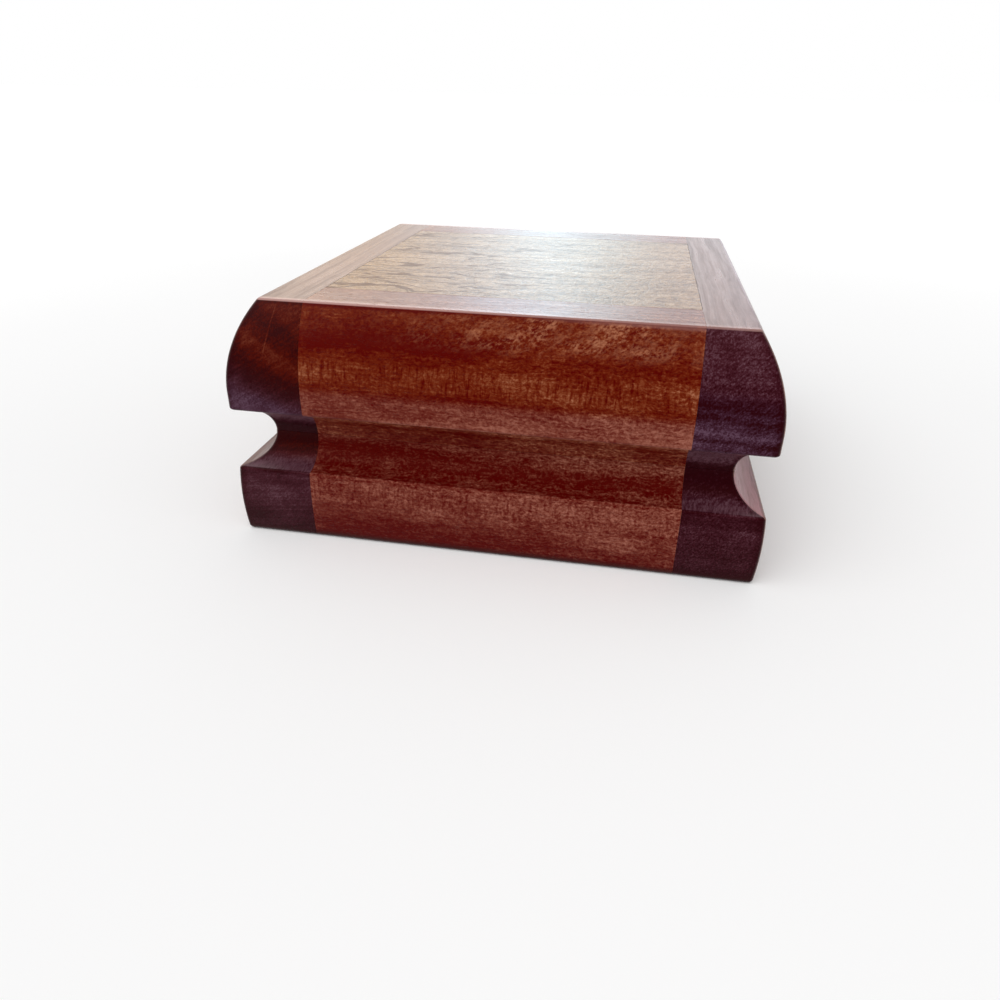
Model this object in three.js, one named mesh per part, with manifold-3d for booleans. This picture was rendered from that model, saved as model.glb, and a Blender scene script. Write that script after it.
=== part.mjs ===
// A square wooden trinket box. Four boards make the base and four more make the lid: two end boards of
// dark wood that run from front to back, and two rails of red-brown wood between them. All eight
// are moulded together: a plinth, a half-round finger groove that goes round the box where the lid meets the
// base, and lid sides that swell and round over to a flat top. A figured panel closes the lid, a thin panel
// closes the base, and a pair of brass butt hinges, whose barrels lie in the groove, joins the two at the back.
// Millimetres, +Z up. The front looks along -Y and the origin is the middle of the underside.

import * as THREE from "three";
import { mergeVertices, toCreasedNormals } from "three/addons/utils/BufferGeometryUtils.js";
import Module from "manifold-3d";

const wasm = await Module();
wasm.setup();

// Outer form
const TOP_WIDTH = 150; // the flat top, left to right
const TOP_DEPTH = 150; // the flat top, front to back
const SWELL = 10; // how far the sides stand out beyond the flat top
const PLINTH_HEIGHT = 24; // from the table to the groove
const GROOVE_RADIUS = 10; // half-round finger groove
const BAND_HEIGHT = 5.5; // upright stretch of the lid above the groove
const CURVE_HEIGHT = 28.5; // rounded stretch of the lid, up to the flat top
const PLINTH_SWELL = 0.5; // how far the plinth's sides stand out at half their height
const FOOT_ROUND = 1.6; // rounding of the bottom edge
const EASED_EDGE = 1; // rounding of the two edges of the groove
const CORNER_EASE = 1.2; // rounding of the mitred corners
const CURVE_STEPS = 22; // facets along the lid's curve
const PLINTH_STEPS = 8; // facets up the plinth's side
const GROOVE_STEPS = 14; // facets along each half of the groove
const EDGE_STEPS = 4; // facets round a small edge
const CORNER_STEPS = 3; // facets round a mitred corner

// Boards and panels
const END_THICKNESS = 25; // end boards, at the plinth
const RAIL_THICKNESS = 28; // front and back rails, at the plinth
const LID_GAP = 0.3; // between the closed lid and the base
const GLUE_LINE = 0.1; // between glued faces
const PANEL_THICKNESS = 10; // top panel
const TONGUE_THICKNESS = 4; // tongue round the top panel, along its underside
const TONGUE_LENGTH = 5; // how far a panel reaches into the boards
const FLOOR_THICKNESS = 4; // bottom panel
const FLOOR_RECESS = 4; // from the table up to the bottom panel
const HOUSING_CLEARANCE = 0.2; // round a panel's edge in its housing groove
const LINING_THICKNESS = 2; // felt-covered pad on the floor
const LINING_CLEARANCE = 0.6; // round the pad

// Corner dowels
const DOWEL_RADIUS = 4;
const DOWEL_IN_RAIL = 16; // depth in the rail's end grain
const DOWEL_IN_END = 10; // depth in the end board's face
const DOWEL_CHAMFER = 0.8;
const DOWEL_CLEARANCE = 0.1; // round the dowel and at its ends
const DOWEL_INSET = 9; // from the cavity's wall to the dowel's axis
const BASE_DOWEL_HEIGHTS = [14, 26.5]; // above the table
const LID_DOWEL_HEIGHTS = [13, 26]; // above the lid's rim
const DOWEL_SIDES = 12;

// Hinges
const HINGE_LENGTH = 25;
const HINGE_TO_DOWELS = 1.5; // along the rail, from a leaf's end to the ends of the corner dowels
const HINGE_SETBACK = 3; // from the neck of the groove back to the hinge axis
const LEAF_THICKNESS = 1.4;
const LEAF_WIDTH = 15; // from the hinge axis to the leaf's inner edge
const LEAF_CLEARANCE = 0.1; // round a leaf in its mortise
const BARREL_RADIUS = 2.5;
const KNUCKLE_COUNT = 3;
const KNUCKLE_GAP = 0.2;
const PIN_RADIUS = 1;
const PIN_CLEARANCE = 0.08;
const BARREL_SIDES = 32;
const PIN_SIDES = 20;

// Countersunk hinge screws
const SCREW_PITCH = 8.5; // along the leaf
const SCREW_SETBACK = 9.5; // from the hinge axis
const SCREW_LENGTH = 9.5;
const SCREW_POINT = 2;
const SHANK_RADIUS = 1.1;
const HEAD_RADIUS = 2.1;
const HEAD_SINK = 0.05; // how far the head lies below the leaf's face
const HEAD_RIM = 0.2; // straight edge of the head above its cone
const SCREW_CLEARANCE = 0.1;
const SCREWS_PER_LEAF = 3;
const SCREW_SIDES = 12;
const SLOT_WIDTH = 0.6;
const SLOT_DEPTH = 0.5;

// Sizes that follow from the ones above
const HALF_WIDTH = TOP_WIDTH / 2 + SWELL;
const HALF_DEPTH = TOP_DEPTH / 2 + SWELL;
const GROOVE_Z = PLINTH_HEIGHT + GROOVE_RADIUS;
const LID_EDGE_Z = GROOVE_Z + GROOVE_RADIUS;
const CURVE_Z = LID_EDGE_Z + BAND_HEIGHT;
const HEIGHT = CURVE_Z + CURVE_HEIGHT;
const BASE_RIM_Z = GROOVE_Z - LID_GAP / 2;
const LID_RIM_Z = GROOVE_Z + LID_GAP / 2;
const CAVITY_X = HALF_WIDTH - END_THICKNESS; // half of the inside, left to right
const CAVITY_Y = HALF_DEPTH - RAIL_THICKNESS; // half of the inside, front to back
const FLOOR_TOP_Z = FLOOR_RECESS + FLOOR_THICKNESS;
const PANEL_UNDERSIDE_Z = HEIGHT - PANEL_THICKNESS;
const HINGE_X = CAVITY_X - DOWEL_IN_RAIL - HINGE_TO_DOWELS - HINGE_LENGTH / 2;
const HINGE_Y = HALF_DEPTH - GROOVE_RADIUS + HINGE_SETBACK;
const HEAD_HEIGHT = HEAD_RADIUS - SHANK_RADIUS; // of the head's 90 degree cone
const BEYOND = 5; // how far a cutter runs past the face that it opens

const woods = {
  dark: new THREE.MeshStandardMaterial({ color: 0x3d1820, roughness: 0.35, metalness: 0 }),
  red: new THREE.MeshStandardMaterial({ color: 0x7a3320, roughness: 0.35, metalness: 0 }),
  figured: new THREE.MeshStandardMaterial({ color: 0xb98d62, roughness: 0.3, metalness: 0 }),
  floor: new THREE.MeshStandardMaterial({ color: 0x9b7a55, roughness: 0.6, metalness: 0 }),
  dowel: new THREE.MeshStandardMaterial({ color: 0xc9a878, roughness: 0.7, metalness: 0 }),
};
const felt = new THREE.MeshStandardMaterial({ color: 0x4a0f18, roughness: 0.95, metalness: 0 });
const brass = new THREE.MeshStandardMaterial({ color: 0xc09a4a, roughness: 0.3, metalness: 1 });

// Solids

function solidOf(geometry) {
  const plain = geometry.clone();
  plain.deleteAttribute("normal");
  plain.deleteAttribute("uv");
  const merged = mergeVertices(plain, 1e-4);
  return new wasm.Manifold(
    new wasm.Mesh({
      numProp: 3,
      vertProperties: new Float32Array(merged.attributes.position.array),
      triVerts: new Uint32Array(merged.index.array),
    }),
  );
}

function geometryOf(solid) {
  const mesh = solid.getMesh();
  const geometry = new THREE.BufferGeometry();
  geometry.setAttribute("position", new THREE.BufferAttribute(mesh.vertProperties, 3));
  geometry.setIndex(new THREE.BufferAttribute(mesh.triVerts, 1));
  return toCreasedNormals(geometry, THREE.MathUtils.degToRad(30));
}

function boxBetween([x0, x1], [y0, y1], [z0, z1]) {
  const geometry = new THREE.BoxGeometry(x1 - x0, y1 - y0, z1 - z0);
  return solidOf(geometry.translate((x0 + x1) / 2, (y0 + y1) / 2, (z0 + z1) / 2));
}

function named(name, geometry, material) {
  const mesh = new THREE.Mesh(geometry, material);
  mesh.name = name;
  return mesh;
}

function piece(name, solid, material) {
  return named(name, geometryOf(solid), material);
}

// Moulded outline: points (distance from the middle, height), from the bottom up

function arc(centreX, centreZ, radius, from, to, steps) {
  return Array.from({ length: steps + 1 }, (_, i) => {
    const angle = from + ((to - from) * i) / steps;
    return [centreX + radius * Math.cos(angle), centreZ + radius * Math.sin(angle)];
  });
}

// An arc between two heights at the same distance from the middle, standing out by `rise` halfway
function swelling(x, fromZ, toZ, rise, steps) {
  const half = (toZ - fromZ) / 2;
  const radius = (half ** 2 + rise ** 2) / (2 * rise);
  const angle = Math.asin(half / radius);
  return arc(x + rise - radius, fromZ + half, radius, -angle, angle, steps);
}

const QUARTER = Math.PI / 2;
const EASE_REACH = GROOVE_RADIUS + EASED_EDGE; // from the groove's middle to that of an eased edge
const EASE_ANGLE = Math.asin(EASED_EDGE / EASE_REACH);
const EASE_RISE = EASE_REACH * Math.cos(EASE_ANGLE);

function baseOutline(half) {
  const rimAngle = Math.asin((GROOVE_Z - BASE_RIM_Z) / GROOVE_RADIUS);
  const easeZ = GROOVE_Z - EASE_RISE;
  const grooveFrom = -QUARTER - EASE_ANGLE;
  return [
    ...arc(half - FOOT_ROUND, FOOT_ROUND, FOOT_ROUND, -QUARTER, 0, EDGE_STEPS),
    ...swelling(half, FOOT_ROUND, easeZ, PLINTH_SWELL, PLINTH_STEPS).slice(1, -1),
    ...arc(half - EASED_EDGE, easeZ, EASED_EDGE, 0, QUARTER - EASE_ANGLE, EDGE_STEPS),
    ...arc(half, GROOVE_Z, GROOVE_RADIUS, grooveFrom, rimAngle - 2 * QUARTER, GROOVE_STEPS).slice(1),
  ];
}

function lidOutline(half) {
  const rimAngle = Math.asin((LID_RIM_Z - GROOVE_Z) / GROOVE_RADIUS);
  const curveRadius = (CURVE_HEIGHT ** 2 + SWELL ** 2) / (2 * SWELL);
  const topAngle = Math.asin(CURVE_HEIGHT / curveRadius);
  const easeZ = GROOVE_Z + EASE_RISE;
  const grooveTo = QUARTER + EASE_ANGLE;
  return [
    ...arc(half, GROOVE_Z, GROOVE_RADIUS, 2 * QUARTER - rimAngle, grooveTo, GROOVE_STEPS),
    ...arc(half - EASED_EDGE, easeZ, EASED_EDGE, EASE_ANGLE - QUARTER, 0, EDGE_STEPS).slice(1),
    ...arc(half - curveRadius, CURVE_Z, curveRadius, 0, topAngle, CURVE_STEPS),
  ];
}

// Points of a rectangle with eased corners, anticlockwise seen from above
function easedRectangle(halfX, halfY) {
  const quarters = [
    [1, 1],
    [-1, 1],
    [-1, -1],
    [1, -1],
  ];
  return quarters.flatMap(([x, y], i) => {
    const centre = [x * (halfX - CORNER_EASE), y * (halfY - CORNER_EASE)];
    return arc(...centre, CORNER_EASE, i * QUARTER, (i + 1) * QUARTER, CORNER_STEPS);
  });
}

// The same moulding on all four sides, mitred at the corners: a ring for each point of the outline
function mouldedBlock(outline) {
  const frontAndBack = outline(HALF_DEPTH);
  const rings = outline(HALF_WIDTH).map(([x, z], i) =>
    easedRectangle(x, frontAndBack[i][0]).map(([ringX, ringY]) => [ringX, ringY, z]),
  );
  const count = rings[0].length;
  const triangles = [];
  for (let ring = 0; ring + 1 < rings.length; ring += 1) {
    for (let i = 0; i < count; i += 1) {
      const here = ring * count + i;
      const next = ring * count + ((i + 1) % count);
      triangles.push(here, next, here + count, next, next + count, here + count);
    }
  }
  const lastRing = (rings.length - 1) * count;
  for (let i = 1; i + 1 < count; i += 1) {
    triangles.push(0, i + 1, i, lastRing, lastRing + i, lastRing + i + 1);
  }
  const geometry = new THREE.BufferGeometry();
  geometry.setAttribute("position", new THREE.Float32BufferAttribute(rings.flat(2), 3));
  return solidOf(geometry.setIndex(triangles));
}

// Corner joints: two dowels lead from each rail's end into the end board

function dowelGeometry() {
  const length = DOWEL_IN_RAIL + DOWEL_IN_END - 2 * DOWEL_CLEARANCE;
  const profile = [
    [0, 0],
    [DOWEL_RADIUS - DOWEL_CHAMFER, 0],
    [DOWEL_RADIUS, DOWEL_CHAMFER],
    [DOWEL_RADIUS, length - DOWEL_CHAMFER],
    [DOWEL_RADIUS - DOWEL_CHAMFER, length],
    [0, length],
  ].map(([x, y]) => new THREE.Vector2(x, y));
  const lying = new THREE.LatheGeometry(profile, DOWEL_SIDES).rotateZ(-QUARTER);
  return lying.translate(DOWEL_CLEARANCE - DOWEL_IN_RAIL, 0, 0);
}

function dowelBore(side, y, z) {
  const length = DOWEL_IN_RAIL + DOWEL_IN_END;
  const radius = (DOWEL_RADIUS + DOWEL_CLEARANCE) / Math.cos(Math.PI / DOWEL_SIDES);
  const bore = new THREE.CylinderGeometry(radius, radius, length, DOWEL_SIDES).rotateZ(QUARTER);
  const middle = CAVITY_X + (DOWEL_IN_END - DOWEL_IN_RAIL) / 2;
  return solidOf(bore.translate(side * middle, y, z));
}

const CORNERS = [
  ["front_left", -1, -1],
  ["front_right", 1, -1],
  ["back_left", -1, 1],
  ["back_right", 1, 1],
];

function dowelBores(heights) {
  return CORNERS.flatMap(([, side, facing]) =>
    heights.map((z) => dowelBore(side, facing * (CAVITY_Y + DOWEL_INSET), z)),
  );
}

function dowels(prefix, heights) {
  return CORNERS.flatMap(([corner, side, facing]) =>
    heights.map((z, i) => {
      const dowel = named(`${prefix}_${corner}_dowel_${i + 1}`, dowelGeometry(), woods.dowel);
      dowel.position.set(side * CAVITY_X, facing * (CAVITY_Y + DOWEL_INSET), z);
      dowel.rotation.z = side > 0 ? 0 : Math.PI;
      return dowel;
    }),
  );
}

// Boards: the moulded block is cut into four, and the cutters take out grooves, bores and mortises

function cutAll(solid, cutters) {
  return cutters.reduce((rest, cutter) => rest.subtract(cutter), solid);
}

function endBoard(block, side, cutters) {
  const inner = CAVITY_X;
  const outer = HALF_WIDTH + BEYOND;
  const span = side > 0 ? [inner, outer] : [-outer, -inner];
  const reach = HALF_DEPTH + BEYOND;
  return cutAll(block.intersect(boxBetween(span, [-reach, reach], [-BEYOND, HEIGHT + BEYOND])), cutters);
}

function rail(block, facing, cutters) {
  const inner = CAVITY_Y;
  const outer = HALF_DEPTH + BEYOND;
  const span = facing > 0 ? [inner, outer] : [-outer, -inner];
  const end = CAVITY_X - GLUE_LINE;
  return cutAll(block.intersect(boxBetween([-end, end], span, [-BEYOND, HEIGHT + BEYOND])), cutters);
}

// Room round the edge of a panel that reaches into the boards
function housing(z0, z1) {
  const reachX = CAVITY_X + TONGUE_LENGTH + HOUSING_CLEARANCE;
  const reachY = CAVITY_Y + TONGUE_LENGTH + HOUSING_CLEARANCE;
  return boxBetween([-reachX, reachX], [-reachY, reachY], [z0 - GLUE_LINE, z1 + GLUE_LINE]);
}

function topPanel() {
  const x = CAVITY_X - GLUE_LINE;
  const y = CAVITY_Y - GLUE_LINE;
  const field = boxBetween([-x, x], [-y, y], [PANEL_UNDERSIDE_Z, HEIGHT]);
  const tongueX = CAVITY_X + TONGUE_LENGTH;
  const tongueY = CAVITY_Y + TONGUE_LENGTH;
  const tongueZ = [PANEL_UNDERSIDE_Z, PANEL_UNDERSIDE_Z + TONGUE_THICKNESS];
  return field.add(boxBetween([-tongueX, tongueX], [-tongueY, tongueY], tongueZ));
}

function bottomPanel() {
  const x = CAVITY_X + TONGUE_LENGTH;
  const y = CAVITY_Y + TONGUE_LENGTH;
  return boxBetween([-x, x], [-y, y], [FLOOR_RECESS, FLOOR_TOP_Z]);
}

function lining() {
  const x = CAVITY_X - LINING_CLEARANCE;
  const y = CAVITY_Y - LINING_CLEARANCE;
  const z = FLOOR_TOP_Z + GLUE_LINE;
  return boxBetween([-x, x], [-y, y], [z, z + LINING_THICKNESS]);
}

// Hinges, drawn round their own axis: the axis runs along X, a leaf lies towards -Y, and `up` is 1 for the
// lid's leaf, above the axis, and -1 for the base's leaf, below it

const LEAF_FACE = LID_GAP / 2; // from the axis to the leaf's inner face
const LEAF_BACK = LEAF_FACE + LEAF_THICKNESS;

function turnedRod(radius, length, sides) {
  return new THREE.CylinderGeometry(radius, radius, length, sides).rotateZ(QUARTER);
}

function between(up, near, far) {
  return up > 0 ? [near, far] : [-far, -near];
}

function screwPlaces() {
  return Array.from({ length: SCREWS_PER_LEAF }, (_, i) => (i - (SCREWS_PER_LEAF - 1) / 2) * SCREW_PITCH);
}

// The screw, or with a clearance its hole. It points down from the leaf's face at height 0.
function screwProfile(clearance) {
  const top = clearance ? BEYOND : -HEAD_SINK;
  const head = HEAD_RADIUS + clearance;
  const shank = SHANK_RADIUS + clearance;
  const cone = -HEAD_SINK - HEAD_RIM;
  return [
    [0, -SCREW_LENGTH - clearance],
    [shank, -SCREW_LENGTH + SCREW_POINT - clearance],
    [shank, cone - HEAD_HEIGHT],
    [head, cone],
    [head, top],
    [0, top],
  ].map(([x, y]) => new THREE.Vector2(x, y));
}

function screwGeometry() {
  const turned = solidOf(new THREE.LatheGeometry(screwProfile(0), SCREW_SIDES).rotateX(QUARTER));
  const half = SLOT_WIDTH / 2;
  const slot = boxBetween([-half, half], [-BEYOND, BEYOND], [-HEAD_SINK - SLOT_DEPTH, BEYOND]);
  return geometryOf(turned.subtract(slot));
}

function screwHoles(up) {
  const hole = new THREE.LatheGeometry(screwProfile(SCREW_CLEARANCE), SCREW_SIDES).rotateX(QUARTER);
  if (up > 0) hole.rotateX(Math.PI);
  return screwPlaces().map((x) =>
    solidOf(hole.clone().translate(x, -SCREW_SETBACK, up * LEAF_FACE)),
  );
}

// Knuckles take turns along the barrel: the base's leaf has the outer ones
function knuckleSpans(up) {
  const pitch = HINGE_LENGTH / KNUCKLE_COUNT;
  return Array.from({ length: KNUCKLE_COUNT }, (_, i) => i)
    .filter((i) => (i % 2 === 0) === up < 0)
    .map((i) => [
      -HINGE_LENGTH / 2 + i * pitch + (i > 0 ? KNUCKLE_GAP / 2 : 0),
      -HINGE_LENGTH / 2 + (i + 1) * pitch - (i < KNUCKLE_COUNT - 1 ? KNUCKLE_GAP / 2 : 0),
    ]);
}

function hingeLeaf(up) {
  const clear = BARREL_RADIUS + KNUCKLE_GAP;
  const half = HINGE_LENGTH / 2;
  const z = between(up, LEAF_FACE, LEAF_BACK);
  let leaf = boxBetween([-half, half], [-LEAF_WIDTH, -clear], z);
  for (const [x0, x1] of knuckleSpans(up)) {
    const knuckle = turnedRod(BARREL_RADIUS, x1 - x0, BARREL_SIDES).translate((x0 + x1) / 2, 0, 0);
    leaf = leaf.add(boxBetween([x0, x1], [-clear - BARREL_RADIUS, 0], z)).add(solidOf(knuckle));
  }
  const boreRadius = (PIN_RADIUS + PIN_CLEARANCE) / Math.cos(Math.PI / PIN_SIDES);
  const bore = solidOf(turnedRod(boreRadius, HINGE_LENGTH + 2 * BEYOND, PIN_SIDES));
  return cutAll(leaf, [bore, ...screwHoles(up)]);
}

// What a hinge takes out of a rail: a shallow mortise open towards the back, room for the barrel, and holes
function hingeCutters(up, origin) {
  const half = HINGE_LENGTH / 2 + LEAF_CLEARANCE;
  const z = between(up, -BEYOND, LEAF_BACK + LEAF_CLEARANCE);
  const mortise = boxBetween([-half, half], [-LEAF_WIDTH - LEAF_CLEARANCE, BEYOND], z);
  const barrelRoom = turnedRod(BARREL_RADIUS + KNUCKLE_GAP, 2 * half, BARREL_SIDES);
  return [mortise, solidOf(barrelRoom), ...screwHoles(up)].map((cutter) => cutter.translate(origin));
}

const HINGES = [
  ["left_hinge", -HINGE_X],
  ["right_hinge", HINGE_X],
];

function leafWithScrews(hinge, part, up, x, origin) {
  const group = new THREE.Group();
  group.position.set(x, HINGE_Y - origin.y, GROOVE_Z - origin.z);
  group.add(piece(`${hinge}_${part}_leaf`, hingeLeaf(up), brass));
  screwPlaces().forEach((along, i) => {
    const screw = named(`${hinge}_${part}_screw_${i + 1}`, screwGeometry(), brass);
    screw.position.set(along, -SCREW_SETBACK, up * LEAF_FACE);
    screw.rotation.x = up > 0 ? Math.PI : 0;
    group.add(screw);
  });
  return group;
}

// Base: stands on the table

function makeBase() {
  const base = new THREE.Group();
  const block = mouldedBlock(baseOutline);
  const shared = [housing(FLOOR_RECESS, FLOOR_TOP_Z), ...dowelBores(BASE_DOWEL_HEIGHTS)];
  const mortises = HINGES.flatMap(([, x]) => hingeCutters(-1, [x, HINGE_Y, GROOVE_Z]));
  base.add(
    piece("base_left_end", endBoard(block, -1, shared), woods.dark),
    piece("base_right_end", endBoard(block, 1, shared), woods.dark),
    piece("base_front_rail", rail(block, -1, shared), woods.red),
    piece("base_back_rail", rail(block, 1, [...shared, ...mortises]), woods.red),
    piece("base_bottom_panel", bottomPanel(), woods.floor),
    piece("base_felt_lining", lining(), felt),
    ...dowels("base", BASE_DOWEL_HEIGHTS),
  );
  for (const [hinge, x] of HINGES) {
    base.add(leafWithScrews(hinge, "base", -1, x, { y: 0, z: 0 }));
    const pin = named(`${hinge}_pin`, turnedRod(PIN_RADIUS, HINGE_LENGTH, PIN_SIDES), brass);
    pin.position.set(x, HINGE_Y, GROOVE_Z);
    base.add(pin);
  }
  return base;
}

// Lid: its group turns about the hinge axis, so a negative rotation.x opens it

function makeLid() {
  const lid = new THREE.Group();
  const axis = { y: HINGE_Y, z: GROOVE_Z };
  lid.position.set(0, axis.y, axis.z);
  const block = mouldedBlock(lidOutline);
  const heights = LID_DOWEL_HEIGHTS.map((z) => LID_RIM_Z + z);
  const tongue = housing(PANEL_UNDERSIDE_Z, PANEL_UNDERSIDE_Z + TONGUE_THICKNESS);
  const shared = [tongue, ...dowelBores(heights)];
  const mortises = HINGES.flatMap(([, x]) => hingeCutters(1, [x, HINGE_Y, GROOVE_Z]));
  const boards = new THREE.Group();
  boards.position.set(0, -axis.y, -axis.z);
  boards.add(
    piece("lid_left_end", endBoard(block, -1, shared), woods.dark),
    piece("lid_right_end", endBoard(block, 1, shared), woods.dark),
    piece("lid_front_rail", rail(block, -1, shared), woods.red),
    piece("lid_back_rail", rail(block, 1, [...shared, ...mortises]), woods.red),
    piece("lid_top_panel", topPanel(), woods.figured),
    ...dowels("lid", heights),
  );
  lid.add(boards);
  for (const [hinge, x] of HINGES) lid.add(leafWithScrews(hinge, "lid", 1, x, axis));
  return lid;
}

const trinketBox = new THREE.Group();
trinketBox.add(makeBase(), makeLid());

export default trinketBox;
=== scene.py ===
"""The looks of a square wooden trinket box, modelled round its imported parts.

Metres, +Z up, the front along -Y.
"""

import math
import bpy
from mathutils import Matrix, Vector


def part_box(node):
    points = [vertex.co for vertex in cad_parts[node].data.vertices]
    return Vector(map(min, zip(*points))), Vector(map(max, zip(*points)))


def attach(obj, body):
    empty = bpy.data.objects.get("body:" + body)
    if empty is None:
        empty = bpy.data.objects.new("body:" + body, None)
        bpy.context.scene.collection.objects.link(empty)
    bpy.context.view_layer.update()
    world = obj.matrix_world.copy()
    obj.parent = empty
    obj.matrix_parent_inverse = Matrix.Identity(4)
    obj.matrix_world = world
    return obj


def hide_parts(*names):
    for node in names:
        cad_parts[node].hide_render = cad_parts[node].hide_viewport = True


bl_info = {
    "name": "Trinket Box",
    "version": (1, 0, 0),
    "blender": (4, 5, 0),
    "location": "View3D > Sidebar > Trinket Box",
    "description": "Models the moulded boards, panels, felt and hinges of a square wooden trinket box",
    "category": "Add Mesh",
}

from typing import NamedTuple

import bpy
from bpy.props import FloatProperty, FloatVectorProperty, IntProperty, PointerProperty
from mathutils import Matrix, Vector

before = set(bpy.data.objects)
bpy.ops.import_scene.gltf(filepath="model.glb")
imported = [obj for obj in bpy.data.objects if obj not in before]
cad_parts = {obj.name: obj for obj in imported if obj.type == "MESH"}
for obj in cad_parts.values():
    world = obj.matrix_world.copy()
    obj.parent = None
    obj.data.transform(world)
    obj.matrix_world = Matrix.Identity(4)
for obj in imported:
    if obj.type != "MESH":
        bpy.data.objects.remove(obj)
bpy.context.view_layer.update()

# Sizes taken from the frame

BASE_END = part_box("base_right_end")
LID_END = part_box("lid_right_end")
BASE_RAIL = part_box("base_back_rail")
LID_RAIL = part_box("lid_back_rail")
TOP_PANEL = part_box("lid_top_panel")
FLOOR_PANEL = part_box("base_bottom_panel")
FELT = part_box("base_felt_lining")
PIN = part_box("right_hinge_pin")
HINGE_AXIS = (PIN[0] + PIN[1]) / 2
PARTING_Z = (BASE_END[1].z + LID_END[0].z) / 2
LID_GAP = LID_END[0].z - BASE_END[1].z
TOP_Z = LID_END[1].z
HALF = LID_END[1].y
PLINTH_SWELL = BASE_END[1].y - HALF
QUARTER = math.pi / 2
SIGN = {"left": -1, "right": 1, "front": -1, "back": 1, "base": -1, "lid": 1}


# What a user would change


def length(name, description, default):
    return FloatProperty(
        name=name, description=description, default=default, unit="LENGTH", subtype="DISTANCE"
    )


def count(name, description, default):
    return IntProperty(name=name, description=description, default=default, min=1)


def colour(name, description, default):
    return FloatVectorProperty(
        name=name, description=description, default=default, size=3, subtype="COLOR", min=0, max=1
    )


class MouldingSizes(bpy.types.PropertyGroup):
    """The outline that runs round the box, and the edges of its boards"""

    groove_radius: length("Groove radius", "Half-round finger groove", 0.010)
    curve_inset: length("Curve inset", "From the lid's side in to the flat top", 0.010)
    band_height: length("Band height", "Upright stretch of the lid above the groove", 0.0055)
    foot_round: length("Foot rounding", "Rounding of the bottom edge", 0.0016)
    eased_edge: length("Eased edge", "Rounding of the groove's two edges", 0.001)
    corner_ease: length("Corner easing", "Rounding of the mitred corners", 0.0012)
    top_ease: length("Top easing", "Rounding where the curve meets the flat top", 0.0005)
    seam_ease: length("Seam easing", "Rounding of the boards' other edges", 0.00006)
    glue_line: length("Glue line", "Between a rail's end and the end board", 0.00002)
    parting: length("Parting", "Between the closed lid and the base", 0.00004)
    tongue: length("Tongue", "Thickness of the tongue round the top panel", 0.004)
    groove_steps: count("Groove steps", "Rings along each half of the groove", 24)
    curve_steps: count("Curve steps", "Rings along the lid's curve", 40)
    side_steps: count("Side steps", "Rings up the plinth's side, an even number", 12)
    edge_steps: count("Edge steps", "Rings round a small edge", 6)
    corner_steps: count("Corner steps", "Segments round a mitred corner", 6)


class FittingSizes(bpy.types.PropertyGroup):
    """Hinges and screws, and the cuts that hold the pieces"""

    clearance: length("Clearance", "Round a piece in its cut", 0.0001)
    leaf_thickness: length("Leaf thickness", "Plate of the hinge", 0.0014)
    barrel_radius: length("Barrel radius", "Knuckles of the hinge", 0.0025)
    knuckle_gap: length("Knuckle gap", "Between knuckles, and round the barrel", 0.0002)
    pin_gap: length("Pin gap", "Round the pin", 0.00012)
    head_radius: length("Screw head radius", "Countersunk head", 0.0021)
    head_rim: length("Screw head rim", "Straight edge above the cone", 0.0002)
    shank_radius: length("Screw shank radius", "Below the cone", 0.0011)
    screw_point: length("Screw point", "Length of the tapered end", 0.002)
    slot_width: length("Slot width", "Across the screw's slot", 0.0006)
    slot_depth: length("Slot depth", "Depth of the screw's slot", 0.0005)
    pile: length("Felt rounding", "Rounding of the felt pad's edges", 0.0008)
    rod_sides: count("Rod sides", "Sides of bores, knuckles and pins", 48)


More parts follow.
